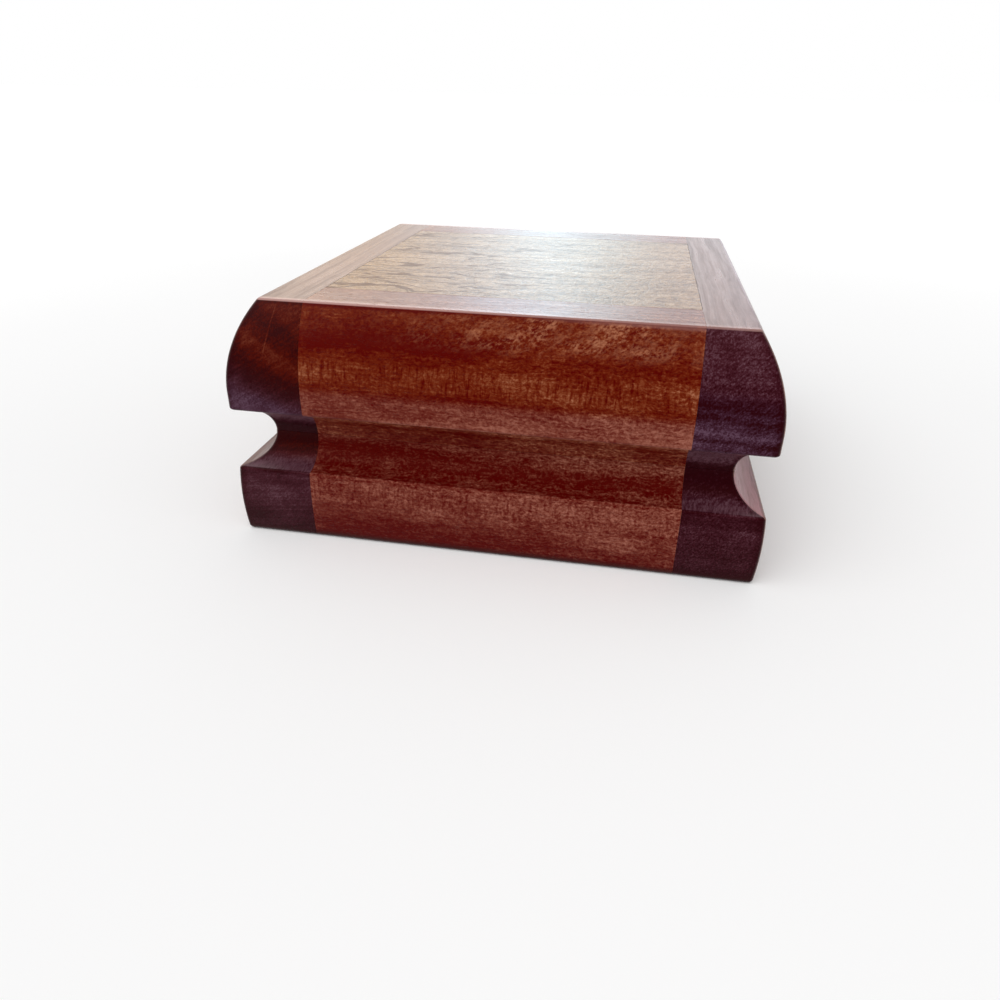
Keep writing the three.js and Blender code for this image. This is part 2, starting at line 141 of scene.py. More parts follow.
class FinishColours(bpy.types.PropertyGroup):
    """Colours of the timbers, the felt and the metal, and of the light and shade painted on the timbers"""

    end_dark: colour("End grain, dark", "Dark growth rings of the end boards", (0.020, 0.0004, 0.0026))
    end_deep: colour("End grain, deep red", "Dark rings in the red ground", (0.024, 0.0002, 0.0010))
    end_red: colour("End grain, red", "Red ground of the end boards", (0.066, 0.0026, 0.0003))
    end_brown: colour("End grain, brown", "Light growth rings of the end boards", (0.130, 0.0260, 0.0120))
    end_purple: colour("End grain, purple", "Purple ground of the end boards", (0.046, 0.0085, 0.0150))
    end_mauve: colour("End grain, mauve", "Light flecks in the purple ground", (0.115, 0.0500, 0.0660))
    # Painted reflection: these bluer colours low on the lid's ends stand for the floor's light mirrored there
    end_reflected_violet: colour("End grain, violet", "Bluer ground low on the lid's ends", (0.042, 0.0120, 0.0250))
    end_reflected_lilac: colour("End grain, lilac", "Light flecks in the bluer ground", (0.108, 0.0540, 0.0860))
    # Painted light: pink that lifts the long grain in the right groove out of its shade
    groove_pink_light: colour("Long grain, pink", "Worn long grain in the right groove", (0.370, 0.1650, 0.1850))
    # Painted highlight on the front and back edges of the flat top, and faintly just under the top's edge
    edge_highlight: colour("Worn edge", "Front and back edges of the flat top", (0.440, 0.2500, 0.2250))
    # Foot: painted contact shadow along the foot of the plinth, where it meets the table
    foot: colour("Foot", "Grime along the foot of the plinth", (0.030, 0.0080, 0.0075))
    side_dark: colour("Long grain, dark", "Streaks along the end boards", (0.060, 0.0150, 0.0130))
    side_light: colour("Long grain, light", "Ground along the end boards", (0.220, 0.1060, 0.0840))
    rail_dark: colour("Rail, dark", "Dark stripes of the rails", (0.080, 0.0004, 0.0001))
    rail_middle: colour("Rail, middle", "Ground of the rails", (0.130, 0.0135, 0.0030))
    rail_light: colour("Rail, light", "Light flecks of the rails", (0.195, 0.0440, 0.0160))
    rail_gold: colour("Rail, gold", "Golden figure of the rails", (0.360, 0.1350, 0.0700))
    rose_middle: colour("Rail, rose", "Ground low on the rails", (0.138, 0.0240, 0.0150))
    rose_light: colour("Rail, light rose", "Light flecks low on the rails", (0.215, 0.0610, 0.0400))
    rose_pale: colour("Rail, pale rose", "Palest flecks low on the rails", (0.310, 0.1100, 0.0760))
    panel_dark: colour("Top panel, dark", "Streaks of the figured panel", (0.130, 0.0560, 0.0260))
    panel_middle: colour("Top panel, middle", "Ground of the figured panel", (0.300, 0.1620, 0.0810))
    panel_light: colour("Top panel, light", "Flame of the figured panel", (0.470, 0.3050, 0.1820))
    floor_wood: colour("Bottom panel", "Plain wood of the bottom panel", (0.390, 0.2300, 0.1150))
    dowel_wood: colour("Dowels", "Bare beech", (0.560, 0.3800, 0.1900))
    felt: colour("Felt", "Burgundy felt", (0.105, 0.0070, 0.0140))
    brass: colour("Brass", "Hinges and screws", (0.720, 0.4600, 0.1700))


def moulding():
    return bpy.context.scene.trinket_moulding


def fittings():
    return bpy.context.scene.trinket_fittings


def colours():
    return bpy.context.scene.trinket_colours


# Modelling


def select_only(piece):
    bpy.ops.object.select_all(action="DESELECT")
    piece.select_set(True)
    bpy.context.view_layer.objects.active = piece


def start_editing(piece):
    select_only(piece)
    bpy.ops.object.mode_set(mode="EDIT")
    bpy.ops.mesh.select_all(action="SELECT")


def stop_editing():
    bpy.ops.object.mode_set(mode="OBJECT")


def apply_place(piece):
    select_only(piece)
    bpy.ops.object.transform_apply(location=True, rotation=True, scale=True)


def apply_modifiers(piece):
    select_only(piece)
    for modifier in list(piece.modifiers):
        bpy.ops.object.modifier_apply(modifier=modifier.name)


def turn_faces_outwards(piece):
    start_editing(piece)
    bpy.ops.mesh.normals_make_consistent(inside=False)
    stop_editing()


def block_between(low, high, name="block"):
    low, high = Vector(low), Vector(high)
    bpy.ops.object.select_all(action="DESELECT")
    bpy.ops.mesh.primitive_cube_add(size=1, location=(low + high) / 2, scale=high - low)
    block = bpy.context.object
    block.name = block.data.name = name
    apply_place(block)
    return block


def rod_along_x(centre, radius, rod_length, name="rod"):
    bpy.ops.object.select_all(action="DESELECT")
    bpy.ops.mesh.primitive_cylinder_add(
        vertices=fittings().rod_sides,
        radius=radius,
        depth=rod_length,
        location=centre,
        rotation=(0, QUARTER, 0),
    )
    rod = bpy.context.object
    rod.name = rod.data.name = name
    apply_place(rod)
    return rod


def raise_rings(rings):
    """Extrudes the selected face upwards ring by ring, each (half its width, height), about the Z axis."""
    width, height = rings[0]
    for next_width, next_height in rings[1:]:
        grow = next_width / width
        bpy.ops.mesh.extrude_region_move(TRANSFORM_OT_translate={"value": (0, 0, next_height - height)})
        bpy.ops.transform.resize(value=(grow, grow, 1), center_override=(0, 0, next_height))
        width, height = next_width, next_height


def turned_shape(name, rings, sides):
    """A round piece standing on the Z axis, from its rings (radius, height), lowest first."""
    radius, height = rings[0]
    bpy.ops.object.select_all(action="DESELECT")
    bpy.ops.mesh.primitive_circle_add(
        vertices=sides, radius=radius, fill_type="NGON", location=(0, 0, height)
    )
    turned = bpy.context.object
    turned.name = turned.data.name = name
    apply_place(turned)
    start_editing(turned)
    raise_rings(rings)
    stop_editing()
    turn_faces_outwards(turned)
    return turned


def combine(piece, other, operation):
    """Joins another solid to the piece, or cuts it away, and removes it."""
    modifier = piece.modifiers.new("combine", "BOOLEAN")
    modifier.operation = operation
    modifier.solver = "EXACT"
    modifier.object = other
    apply_modifiers(piece)
    bpy.data.meshes.remove(other.data)


def cut(piece, cutters):
    for cutter in cutters:
        combine(piece, cutter, "DIFFERENCE")


def copy_of(piece, name):
    twin = piece.copy()
    twin.data = piece.data.copy()
    twin.name = twin.data.name = name
    bpy.context.scene.collection.objects.link(twin)
    return twin


def ease_edges(piece, width, segments=3):
    modifier = piece.modifiers.new("eased edges", "BEVEL")
    modifier.width = width
    modifier.segments = segments
    modifier.limit_method = "ANGLE"
    modifier.angle_limit = math.radians(31)
    apply_modifiers(piece)


def smooth(piece):
    """Smooth shading on rounded stretches, while flat faces stay flat."""
    select_only(piece)
    bpy.ops.object.shade_smooth_by_angle(angle=math.radians(32))
    modifier = piece.modifiers.new("flat faces stay flat", "WEIGHTED_NORMAL")
    modifier.keep_sharp = True
    apply_modifiers(piece)


def keep_beyond(piece, point, normal):
    """Cuts a solid by a plane, drops what lies behind it and closes the cut."""
    start_editing(piece)
    bpy.ops.mesh.bisect(plane_co=point, plane_no=normal, use_fill=True, clear_inner=True)
    stop_editing()


def hand_over(piece, material, body, slot, *nodes):
    """Gives a finished piece its material and its body, and hides the nodes that it stands for; its slot is
    not used.
    """
    piece.data.materials.clear()
    piece.data.materials.append(material)
    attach(piece, body)
    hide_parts(*nodes)
    return piece


# The moulding's outline: points (distance in from the lid's side, height), from the bottom up


def arc(centre_in, centre_z, radius, start, end, steps):
    angles = [start + (end - start) * i / steps for i in range(steps + 1)]
    return [(centre_in - radius * math.cos(a), centre_z + radius * math.sin(a)) for a in angles]


def groove_easing():
    """Angle and rise, from the groove's middle, of the circles that ease its two edges."""
    m = moulding()
    reach = m.groove_radius + m.eased_edge
    angle = math.asin(m.eased_edge / reach)
    return angle, reach * math.cos(angle)


def base_outline():
    m = moulding()
    ease_angle, rise = groove_easing()
    ease_z = PARTING_Z - rise
    rim_angle = math.asin(m.parting / 2 / m.groove_radius)
    half_side = (ease_z - m.foot_round) / 2
    side_radius = (half_side**2 + PLINTH_SWELL**2) / (2 * PLINTH_SWELL)
    side_angle = math.asin(half_side / side_radius)
    side_centre = (side_radius - PLINTH_SWELL, m.foot_round + half_side)
    return [
        *arc(m.foot_round, m.foot_round, m.foot_round, -QUARTER, 0, m.edge_steps),
        *arc(*side_centre, side_radius, -side_angle, side_angle, m.side_steps)[1:-1],
        *arc(m.eased_edge, ease_z, m.eased_edge, 0, QUARTER - ease_angle, m.edge_steps),
        *arc(0, PARTING_Z, m.groove_radius, -QUARTER - ease_angle, rim_angle - math.pi, m.groove_steps)[1:],
    ]


def lid_outline():
    m = moulding()
    ease_angle, rise = groove_easing()
    ease_z = PARTING_Z + rise
    rim_angle = math.asin(m.parting / 2 / m.groove_radius)
    curve_z = PARTING_Z + m.groove_radius + m.band_height
    curve_height = TOP_Z - curve_z
    radius = (curve_height**2 + m.curve_inset**2) / (2 * m.curve_inset)
    top_angle = math.asin(curve_height / radius)
    return [
        *arc(0, PARTING_Z, m.groove_radius, math.pi - rim_angle, QUARTER + ease_angle, m.groove_steps),
        *arc(m.eased_edge, ease_z, m.eased_edge, ease_angle - QUARTER, 0, m.edge_steps)[1:],
        *arc(radius, curve_z, radius, 0, top_angle, m.curve_steps),
    ]


def moulded_block(name, outline):
    """A square plate raised ring by ring along the outline, so that the moulding is mitred at its corners."""
    m = moulding()
    rings = [(HALF - inset, height) for inset, height in outline]
    width, height = rings[0]
    bpy.ops.object.select_all(action="DESELECT")
    bpy.ops.mesh.primitive_plane_add(size=2 * width, location=(0, 0, height))
    block = bpy.context.object
    block.name = block.data.name = name
    apply_place(block)
    start_editing(block)
    bpy.ops.mesh.bevel(offset=m.corner_ease, segments=m.corner_steps, affect="VERTICES")
    raise_rings(rings)
    stop_editing()
    turn_faces_outwards(block)
    return block


def ease_top(block):
    """Rounds the edge between the lid's curve and its flat top."""
    select_only(block)
    for vertex in block.data.vertices:
        vertex.select = False
    for edge in block.data.edges:
        edge.select = False
    for face in block.data.polygons:
        face.select = face.normal.z > 0.99 and face.center.z > TOP_Z - moulding().seam_ease
    bpy.ops.object.mode_set(mode="EDIT")
    bpy.ops.mesh.select_mode(type="FACE")
    bpy.ops.mesh.region_to_loop()
    bpy.ops.mesh.bevel(offset=moulding().top_ease, segments=4, affect="EDGES")
    bpy.ops.mesh.select_mode(type="VERT")
    stop_editing()


# Cutters


def housing_cutter(panel_low, panel_high):
    """Room for a panel's edge in the boards."""
    gap = fittings().clearance
    spare = Vector((2 * gap, 2 * gap, gap))
    return block_between(panel_low - spare, panel_high + spare, "housing")


def dowel_cutters(layer, facing, sides):
    """Bores for the dowels at one corner, or at both corners of a rail."""
    gap = fittings().clearance
    bores = []
    for side in sides:
        for number in (1, 2):
            low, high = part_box(f"{layer}_{facing}_{side}_dowel_{number}")
            size = high - low
            bores.append(rod_along_x((low + high) / 2, size.z / 2 + gap, size.x + 2 * gap))
    return bores


def screw_rings(spare):
    """A hinge screw from its point up, its head at height 0, or with spare room its hole."""
    f = fittings()
    low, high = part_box("right_hinge_base_screw_1")
    tip = low.z - high.z - spare
    head, shank = f.head_radius + spare, f.shank_radius + spare
    cone_top = -f.head_rim
    return [
        (shank / 5, tip),
        (shank, tip + f.screw_point),
        (shank, cone_top - head + shank),
        (head, cone_top),
        (head, f.leaf_thickness if spare else 0),
    ]


def put_screw_shape(shape, layer, side, number, turn=0):
    """Moves a screw, or the shape of its hole, to where the frame has that screw."""
    low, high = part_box(f"{side}_hinge_{layer}_screw_{number}")
    middle = (low + high) / 2
    head_z = high.z if layer == "base" else low.z
    shape.rotation_euler = (0 if layer == "base" else math.pi, 0, turn)
    shape.location = (middle.x, middle.y, head_z)
    apply_place(shape)
    return shape


def screw_hole(layer, side, number):
    shape = turned_shape("screw_hole", screw_rings(fittings().clearance), 32)
    return put_screw_shape(shape, layer, side, number)


def leaf_heights(layer):
    """Heights of a leaf's inner face, towards the other leaf, and of its back."""
    face = HINGE_AXIS.z + SIGN[layer] * LID_GAP / 2
    return face, face + SIGN[layer] * fittings().leaf_thickness


def hinge_cutters(layer):
    """Mortises for the leaves, room for the barrels, and screw holes."""
    f = fittings()
    beyond = 2 * f.leaf_thickness
    back = leaf_heights(layer)[1] + SIGN[layer] * f.clearance
    open_side = HINGE_AXIS.z - SIGN[layer] * beyond
    cutters = []
    for side in ("left", "right"):
        low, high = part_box(f"{side}_hinge_{layer}_leaf")
        mortise_low = (low.x - f.clearance, low.y - f.clearance, min(back, open_side))
        mortise_high = (high.x + f.clearance, high.y + beyond, max(back, open_side))
        cutters.append(block_between(mortise_low, mortise_high, "mortise"))
        centre = ((low.x + high.x) / 2, HINGE_AXIS.y, HINGE_AXIS.z)
        room = high.x - low.x + 2 * f.clearance
        cutters.append(rod_along_x(centre, f.barrel_radius + f.knuckle_gap, room))
        cutters.extend(screw_hole(layer, side, number) for number in (1, 2, 3))
    return cutters


# Boards


def end_board(block, layer, side, low):
    board = copy_of(block, f"{layer}_end_board_{side}")
    keep_beyond(board, (SIGN[side] * low.x, 0, 0), (SIGN[side], 0, 0))
    ease_edges(board, moulding().seam_ease)
    for facing in ("front", "back"):
        cut(board, dowel_cutters(layer, facing, [side]))
    return board


def rail_board(block, layer, facing, low):
    board = copy_of(block, f"{layer}_rail_{facing}")
    end = BASE_END[0].x - moulding().glue_line
    keep_beyond(board, (-end, 0, 0), (1, 0, 0))
    keep_beyond(board, (end, 0, 0), (-1, 0, 0))
    keep_beyond(board, (0, SIGN[facing] * low.y, 0), (0, SIGN[facing], 0))
    ease_edges(board, moulding().seam_ease)
    cut(board, dowel_cutters(layer, facing, ["left", "right"]))
    if facing == "back":
        cut(board, hinge_cutters(layer))
    return board


def finish_board(board, panel_low, panel_high):
    cut(board, [housing_cutter(panel_low, panel_high)])
    smooth(board)


def make_base_boards():
    block = moulded_block("base_block", base_outline())
    rail = rail_wood("base")
    for side in ("left", "right"):
        board = end_board(block, "base", side, BASE_END[0])
        finish_board(board, *FLOOR_PANEL)
        hand_over(board, end_wood("base", side), "base", "dark_wood", f"base_{side}_end")
    for facing in ("front", "back"):
        board = rail_board(block, "base", facing, BASE_RAIL[0])
        finish_board(board, *FLOOR_PANEL)
        hand_over(board, rail, "base", "red_wood", f"base_{facing}_rail")
    bpy.data.meshes.remove(block.data)


def make_lid_boards():
    block = moulded_block("lid_block", lid_outline())
    ease_top(block)
    tongue_low, tongue_high = TOP_PANEL[0], TOP_PANEL[1].copy()
    tongue_high.z = tongue_low.z + moulding().tongue
    rail = rail_wood("lid")
    for side in ("left", "right"):
        board = end_board(block, "lid", side, LID_END[0])
        finish_board(board, tongue_low, tongue_high)
        hand_over(board, end_wood("lid", side), "lid", "dark_wood", f"lid_{side}_end")
    for facing in ("front", "back"):
        board = rail_board(block, "lid", facing, LID_RAIL[0])
        finish_board(board, tongue_low, tongue_high)
        hand_over(board, rail, "lid", "red_wood", f"lid_{facing}_rail")
    bpy.data.meshes.remove(block.data)


# Panels and felt


def make_top_panel():
    """A panel with a tongue along its underside, flush with the boards at the top."""
    m = moulding()
    low, high = TOP_PANEL
    gap = fittings().clearance
    field_x, field_y = LID_END[0].x - gap, LID_RAIL[0].y - gap
    shoulder_z = low.z + m.tongue
    panel = block_between(low, (high.x, high.y, shoulder_z), "lid_top_panel_figured")
    field = block_between((-field_x, -field_y, shoulder_z - gap), (field_x, field_y, high.z))
    combine(panel, field, "UNION")
    ease_edges(panel, m.seam_ease)
    smooth(panel)
    hand_over(panel, panel_wood(), "lid", "figured_wood", "lid_top_panel")


def make_bottom_panel():
    panel = block_between(*FLOOR_PANEL, "base_floor_board")
    ease_edges(panel, 2 * moulding().seam_ease)
    smooth(panel)
    wood = plain_wood("floor_wood", colours().floor_wood, (0.060, 0.0016, 0.004))
    hand_over(panel, wood, "base", "floor_wood", "base_bottom_panel")


def make_felt():
    """A thin pad with soft edges and a slightly uneven, felted face."""
    pad = block_between(*FELT, "base_felt_pad")
    ease_edges(pad, fittings().pile, 5)
    start_editing(pad)
    for place in (0.8, 0.5, 0.2, -0.1, -0.4, -0.7):
        for axis in (0, 1):
            point = Vector((0, 0, 0))
            normal = Vector((0, 0, 0))
            point[axis] = place * FELT[1][axis]
            normal[axis] = 1
            bpy.ops.mesh.select_all(action="SELECT")
            bpy.ops.mesh.bisect(plane_co=point, plane_no=normal)
    stop_editing()
    ripple = bpy.data.textures.new("felt_hills", "CLOUDS")
    ripple.noise_scale = 0.02
    hills = pad.modifiers.new("hills", "SUBSURF")
    hills.levels = hills.render_levels = 3
    hills.subdivision_type = "SIMPLE"
    rise = pad.modifiers.new("uneven face", "DISPLACE")
    rise.texture = ripple
    rise.direction = "Z"
    rise.mid_level = 1
    rise.strength = 0.0002
    apply_modifiers(pad)
    smooth(pad)
    hand_over(pad, felt_cloth(), "base", "felt", "base_felt_lining")


# Hinges


def knuckle_spans(layer, low_x, high_x):
    """Where a leaf's knuckles lie: the base's leaf has the outer two and the lid's the middle one."""
    gap = fittings().knuckle_gap / 2
    pitch = (high_x - low_x) / 3
    outer = [(low_x, low_x + pitch - gap), (high_x - pitch + gap, high_x)]
    middle = [(low_x + pitch + gap, high_x - pitch - gap)]
    return outer if layer == "base" else middle


def hinge_leaf(layer):
    """The right hinge's leaf: a plate, its knuckles round the pin, and countersunk holes."""
    f = fittings()
    low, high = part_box(f"right_hinge_{layer}_leaf")
    bottom, top = sorted(leaf_heights(layer))
    clear = f.barrel_radius + f.knuckle_gap
    plate_end = (high.x, HINGE_AXIS.y - clear, top)
    leaf = block_between((low.x, low.y, bottom), plate_end, f"hinge_leaf_right_{layer}")
    ease_edges(leaf, f.clearance)
    for start, end in knuckle_spans(layer, low.x, high.x):
        tab_low = (start, HINGE_AXIS.y - clear - f.barrel_radius, bottom)
        combine(leaf, block_between(tab_low, (end, HINGE_AXIS.y, top)), "UNION")
        knuckle = rod_along_x(((start + end) / 2, HINGE_AXIS.y, HINGE_AXIS.z), f.barrel_radius, end - start)
        ease_edges(knuckle, f.clearance)
        combine(leaf, knuckle, "UNION")
    bore = rod_along_x(HINGE_AXIS, PIN[1].z - HINGE_AXIS.z + f.pin_gap, 2 * (high.x - low.x))
    cut(leaf, [bore, *(screw_hole(layer, "right", number) for number in (1, 2, 3))])
    smooth(leaf)
    return leaf


def make_hinges(brass):
    to_left = Vector((-2 * HINGE_AXIS.x, 0, 0))
    pin = rod_along_x(HINGE_AXIS, PIN[1].z - HINGE_AXIS.z, PIN[1].x - PIN[0].x, "hinge_pin_right")
    ease_edges(pin, fittings().knuckle_gap)
    smooth(pin)
    pieces = [(hinge_leaf("base"), "base", "base_leaf"), (hinge_leaf("lid"), "lid", "lid_leaf")]
    for piece, body, node in [*pieces, (pin, "base", "pin")]:
        twin = copy_of(piece, piece.name.replace("right", "left"))
        twin.location = to_left
        apply_place(twin)
        hand_over(piece, brass, body, "brass", f"right_hinge_{node}")
        hand_over(twin, brass, body, "brass", f"left_hinge_{node}")


def slotted_screw():
    """A countersunk screw on the Z axis, its head at height 0."""
    f = fittings()
    screw = turned_shape("hinge_screw", screw_rings(0), 32)
    half_width = f.slot_width / 2
    past_rim = 2 * f.leaf_thickness
    slot = block_between((-half_width, -past_rim, -f.slot_depth), (half_width, past_rim, f.slot_depth))
    cut(screw, [slot])
    ease_edges(screw, f.clearance / 2, 2)
    smooth(screw)
    return screw


def make_screws(brass):
    pattern = slotted_screw()
    turn = 0
    for side in ("left", "right"):
        for layer in ("base", "lid"):
            for number in (1, 2, 3):
                turn += math.radians(67)
                screw = copy_of(pattern, f"hinge_screw_{side}_{layer}_{number}")
                put_screw_shape(screw, layer, side, number, turn)
                hand_over(screw, brass, layer, "brass", f"{side}_hinge_{layer}_screw_{number}")
    bpy.data.meshes.remove(pattern.data)


# Materials

# The oiled woods hardly shine straight on, and mirror the light only at a low angle
POLISH_TINT = (0.10, 0.03, 0.02, 1.0)


class Finish:
    """A material in the making, with short ways to add its nodes."""

    def __init__(self, name):
        self.material = bpy.data.materials.new(name)
        self.material.use_nodes = True
        self.tree = self.material.node_tree
        self.shader = self.tree.nodes["Principled BSDF"]
        self.place = self.add("TexCoord").outputs["Object"]

    def add(self, kind, inputs=None, **settings):
        node = self.tree.nodes.new("ShaderNode" + kind)
        for name, value in settings.items():
            setattr(node, name, value)
        for socket, value in (inputs or {}).items():
            if isinstance(value, bpy.types.NodeSocket):
                self.tree.links.new(value, node.inputs[socket])
            else:
                node.inputs[socket].default_value = value
        return node

    def maths(self, operation, first, second=0.0, clamp=False):
        return self.add("Math", {0: first, 1: second}, operation=operation, use_clamp=clamp).outputs[0]

    def plus(self, first, *others):
        for other in others:
            first = self.maths("ADD", first, other)
        return first

    def less(self, first, *others):
        for other in others:
            first = self.maths("SUBTRACT", first, other)
        return first

    def product(self, first, *others):
        for other in others:
            first = self.maths("MULTIPLY", first, other)
        return first

    def along(self, axis, place=None):
        return self.add("SeparateXYZ", {0: place or self.place}).outputs[axis]

    def from_middle(self, axis):
        """How far a place lies from the box's middle, to either side."""
        return self.maths("ABSOLUTE", self.along(axis))

    def turned(self, axis, degrees):
        inputs = {"Vector": self.place, "Angle": math.radians(degrees)}
        return self.add("VectorRotate", inputs, rotation_type=axis + "_AXIS").outputs[0]

    def noise(self, size, detail=2.0, roughness=0.5, place=None, shift=(0, 0, 0)):
        """Noise whose grains are about `size` metres long along X, Y and Z."""
        scale = [1 / length for length in size]
        inputs = {"Vector": place or self.place, "Location": shift, "Scale": scale}
        mapped = self.add("Mapping", inputs).outputs[0]
        inputs = {"Vector": mapped, "Scale": 1.0, "Detail": detail, "Roughness": roughness}
        return self.add("TexNoise", inputs).outputs[0]

    def wavered(self, size, amount, place=None):
        """Places pushed about by a slow noise, by up to about `amount`, so that what lies there wavers."""
        place = place or self.place
        mapped = self.add("Mapping", {"Vector": place, "Scale": [1 / length for length in size]}).outputs[0]
        noise = self.add("TexNoise", {"Vector": mapped, "Scale": 1.0, "Detail": 2.0}).outputs["Color"]
        centred = self.add("VectorMath", {0: noise, 1: (0.5, 0.5, 0.5)}, operation="SUBTRACT").outputs[0]
        pushed = self.add("VectorMath", {0: centred, 1: [4 * part for part in amount]}, operation="MULTIPLY")
        return self.add("VectorMath", {0: place, 1: pushed.outputs[0]}, operation="ADD").outputs[0]

    def step(self, value, start, end, low=0.0, high=1.0, shape="SMOOTHSTEP"):
        inputs = {"Value": value, "From Min": start, "From Max": end, "To Min": low, "To Max": high}
        return self.add("MapRange", inputs, interpolation_type=shape).outputs[0]

    def fade(self, value, start, end):
        """1 up to the start, and 0 from the end on."""
        return self.step(value, start, end, 1, 0)

    def ramp(self, value, stops, shape="LINEAR"):
        node = self.add("ValToRGB", {0: value})
        node.color_ramp.interpolation = shape
        elements = node.color_ramp.elements
        while len(elements) < len(stops):
            elements.new(1.0)
        for element, (position, shade) in zip(elements, stops):
            element.position = position
            element.color = (*shade, 1.0)
        return node.outputs[0]

    def mix(self, amount, first, second):
        node = self.add("Mix", {0: amount}, data_type="RGBA")
        for socket, value in ((node.inputs[6], first), (node.inputs[7], second)):
            if isinstance(value, bpy.types.NodeSocket):
                self.tree.links.new(value, socket)
            else:
                socket.default_value = (*value, 1.0)
        return node.outputs[2]

    def blend(self, amount, first, second):
        return self.add("Mix", {0: amount, 2: first, 3: second}).outputs[0]

    def sum_of(self, start, *terms):
        """start plus each (value, weight), where values lie round 0.5."""
        total = start
        for value, weight in terms:
            total = self.plus(total, self.product(self.less(value, 0.5), weight))
        return total

    def bump(self, height, distance):
        node = self.add("Bump", {"Height": height, "Distance": distance})
        self.tree.links.new(node.outputs[0], self.shader.inputs["Normal"])

    def done(self, base_colour, roughness, **sockets):
        self.tree.links.new(base_colour, self.shader.inputs["Base Color"])
        if isinstance(roughness, bpy.types.NodeSocket):
            self.tree.links.new(roughness, self.shader.inputs["Roughness"])
        else:
            self.shader.inputs["Roughness"].default_value = roughness
        for name, value in sockets.items():
            self.shader.inputs[name.replace("_", " ").title().replace("Ior", "IOR")].default_value = value
        return self.material


# How light the boards are at each height, their figure together with the painted light and shade noted at
# each table: (metres above the table, tone)
# Besides the figure: the light lowest stop is painted light on the lid's lower edge, and the dark stop at
# 0.0773 is a painted shade line under the top's edge
LID_RAIL_TONES = (
    (0.0440, 0.66),
    (0.0446, 0.50),
    (0.0500, 0.47),
    (0.0515, 0.43),
    (0.0530, 0.24),
    (0.0538, 0.18),
    (0.0555, 0.32),
    (0.0600, 0.38),
    (0.0635, 0.27),
    (0.0650, 0.18),
    (0.0665, 0.14),
    (0.0700, 0.22),
    (0.0735, 0.32),
    (0.0764, 0.32),
    (0.0773, 0.10),
    (0.0778, 0.50),
)
# The dip at 0.0390 is a painted shadow line on the groove wall under the lid's lower edge
LID_GROOVE_RAIL_TONES = (
    (0.0340, 0.40),
    (0.0360, 0.36),
    (0.0380, 0.38),
    (0.0390, 0.22),
    (0.0400, 0.46),
    (0.0410, 0.60),
)
PLINTH_RAIL_TONES = (
    (0.0000, 0.00),
    (0.0020, 0.06),
    (0.0045, 0.18),
    (0.0060, 0.20),
    (0.0100, 0.36),
    (0.0140, 0.46),
    (0.0170, 0.52),
    (0.0215, 0.48),
    (0.0228, 0.36),
    (0.0240, 0.36),
)
GROOVE_RAIL_TONES = (
    (0.0240, 0.06),
    (0.0246, 0.18),
    (0.0256, 0.02),
    (0.0275, -0.10),
    (0.0310, -0.06),
    (0.0320, 0.08),
    (0.0335, 0.30),
    (0.0365, 0.44),
)
LID_LEFT_END_TONES = (
    (0.0380, 0.58),
    (0.0450, 0.66),
    (0.0475, 0.54),
    (0.0500, 0.40),
    (0.0525, 0.22),
    (0.0550, 0.06),
    (0.0585, 0.06),
    (0.0610, 0.26),
    (0.0640, 0.44),
    (0.0660, 0.56),
    (0.0680, 0.30),
    (0.0720, 0.16),
    (0.0745, 0.26),
    (0.0765, 0.52),
    (0.0860, 0.46),
)
# The rise from 0.0380 up is painted light, which lifts the groove's upper wall out of its shade
LID_LEFT_GROOVE_TONES = (
    (0.0340, -0.05),
    (0.0370, -0.05),
    (0.0380, 0.34),
    (0.0390, 0.62),
    (0.0400, 0.85),
    (0.0410, 0.90),
)
LID_RIGHT_END_TONES = (
    (0.0430, 0.52),
    (0.0465, 0.48),
    (0.0476, 0.14),
    (0.0486, 0.40),
    (0.0500, 0.66),
    (0.0512, 0.50),
    (0.0525, 0.42),
    (0.0545, 0.04),
    (0.0560, 0.36),
    (0.0575, 0.06),
    (0.0600, 0.34),
    (0.0650, 0.52),
    (0.0700, 0.54),
    (0.0735, 0.46),
    (0.0780, 0.60),
)
LID_RIGHT_GROOVE_TONES = (
    (0.0340, -0.10),
    (0.0350, -0.05),
    (0.0362, 0.40),
    (0.0372, 0.74),
    (0.0410, 0.80),
)
# The dark stop just under 0.0240 is a painted shade line along the plinth's top edge
PLINTH_LEFT_END_TONES = (
    (0.0010, 0.00),
    (0.0030, 0.14),
    (0.0060, 0.12),
    (0.0080, 0.30),
    (0.0100, 0.32),
    (0.0140, 0.50),
    (0.0180, 0.58),
    (0.0200, 0.38),
    (0.0225, 0.46),
    (0.0236, 0.18),
    (0.0240, 0.42),
)
# The dark stop just under 0.0240 is a painted shade line along the plinth's top edge
PLINTH_RIGHT_END_TONES = (
    (0.0010, 0.00),
    (0.0030, 0.14),
    (0.0050, 0.30),
    (0.0085, 0.22),
    (0.0160, 0.36),
    (0.0185, 0.40),
    (0.0198, 0.16),
    (0.0220, 0.16),
    (0.0229, 0.04),
    (0.0235, 0.24),
    (0.0240, 0.42),
)
# The light tones low in the groove are a painted reflection of soft light from above and in front
GROOVE_LEFT_END_TONES = (
    (0.0240, 0.84),
    (0.0250, 0.70),
    (0.0262, 0.56),
    (0.0272, 0.42),
    (0.0280, 0.16),
    (0.0300, 0.16),
    (0.0312, 0.05),
    (0.0325, -0.12),
)
# The light tones low in the groove are a painted reflection of soft light from above and in front
GROOVE_RIGHT_END_TONES = (
    (0.0240, 0.66),
    (0.0250, 0.64),
    (0.0262, 0.42),
    (0.0272, 0.22),
    (0.0285, 0.04),
    (0.0340, -0.02),
)

# Where a finish sets in or fades, in metres: from one height above the table to another
GROOVE_BEGINS = (0.0225, 0.0232)
GROOVE_ENDS = (0.0438, 0.0441)
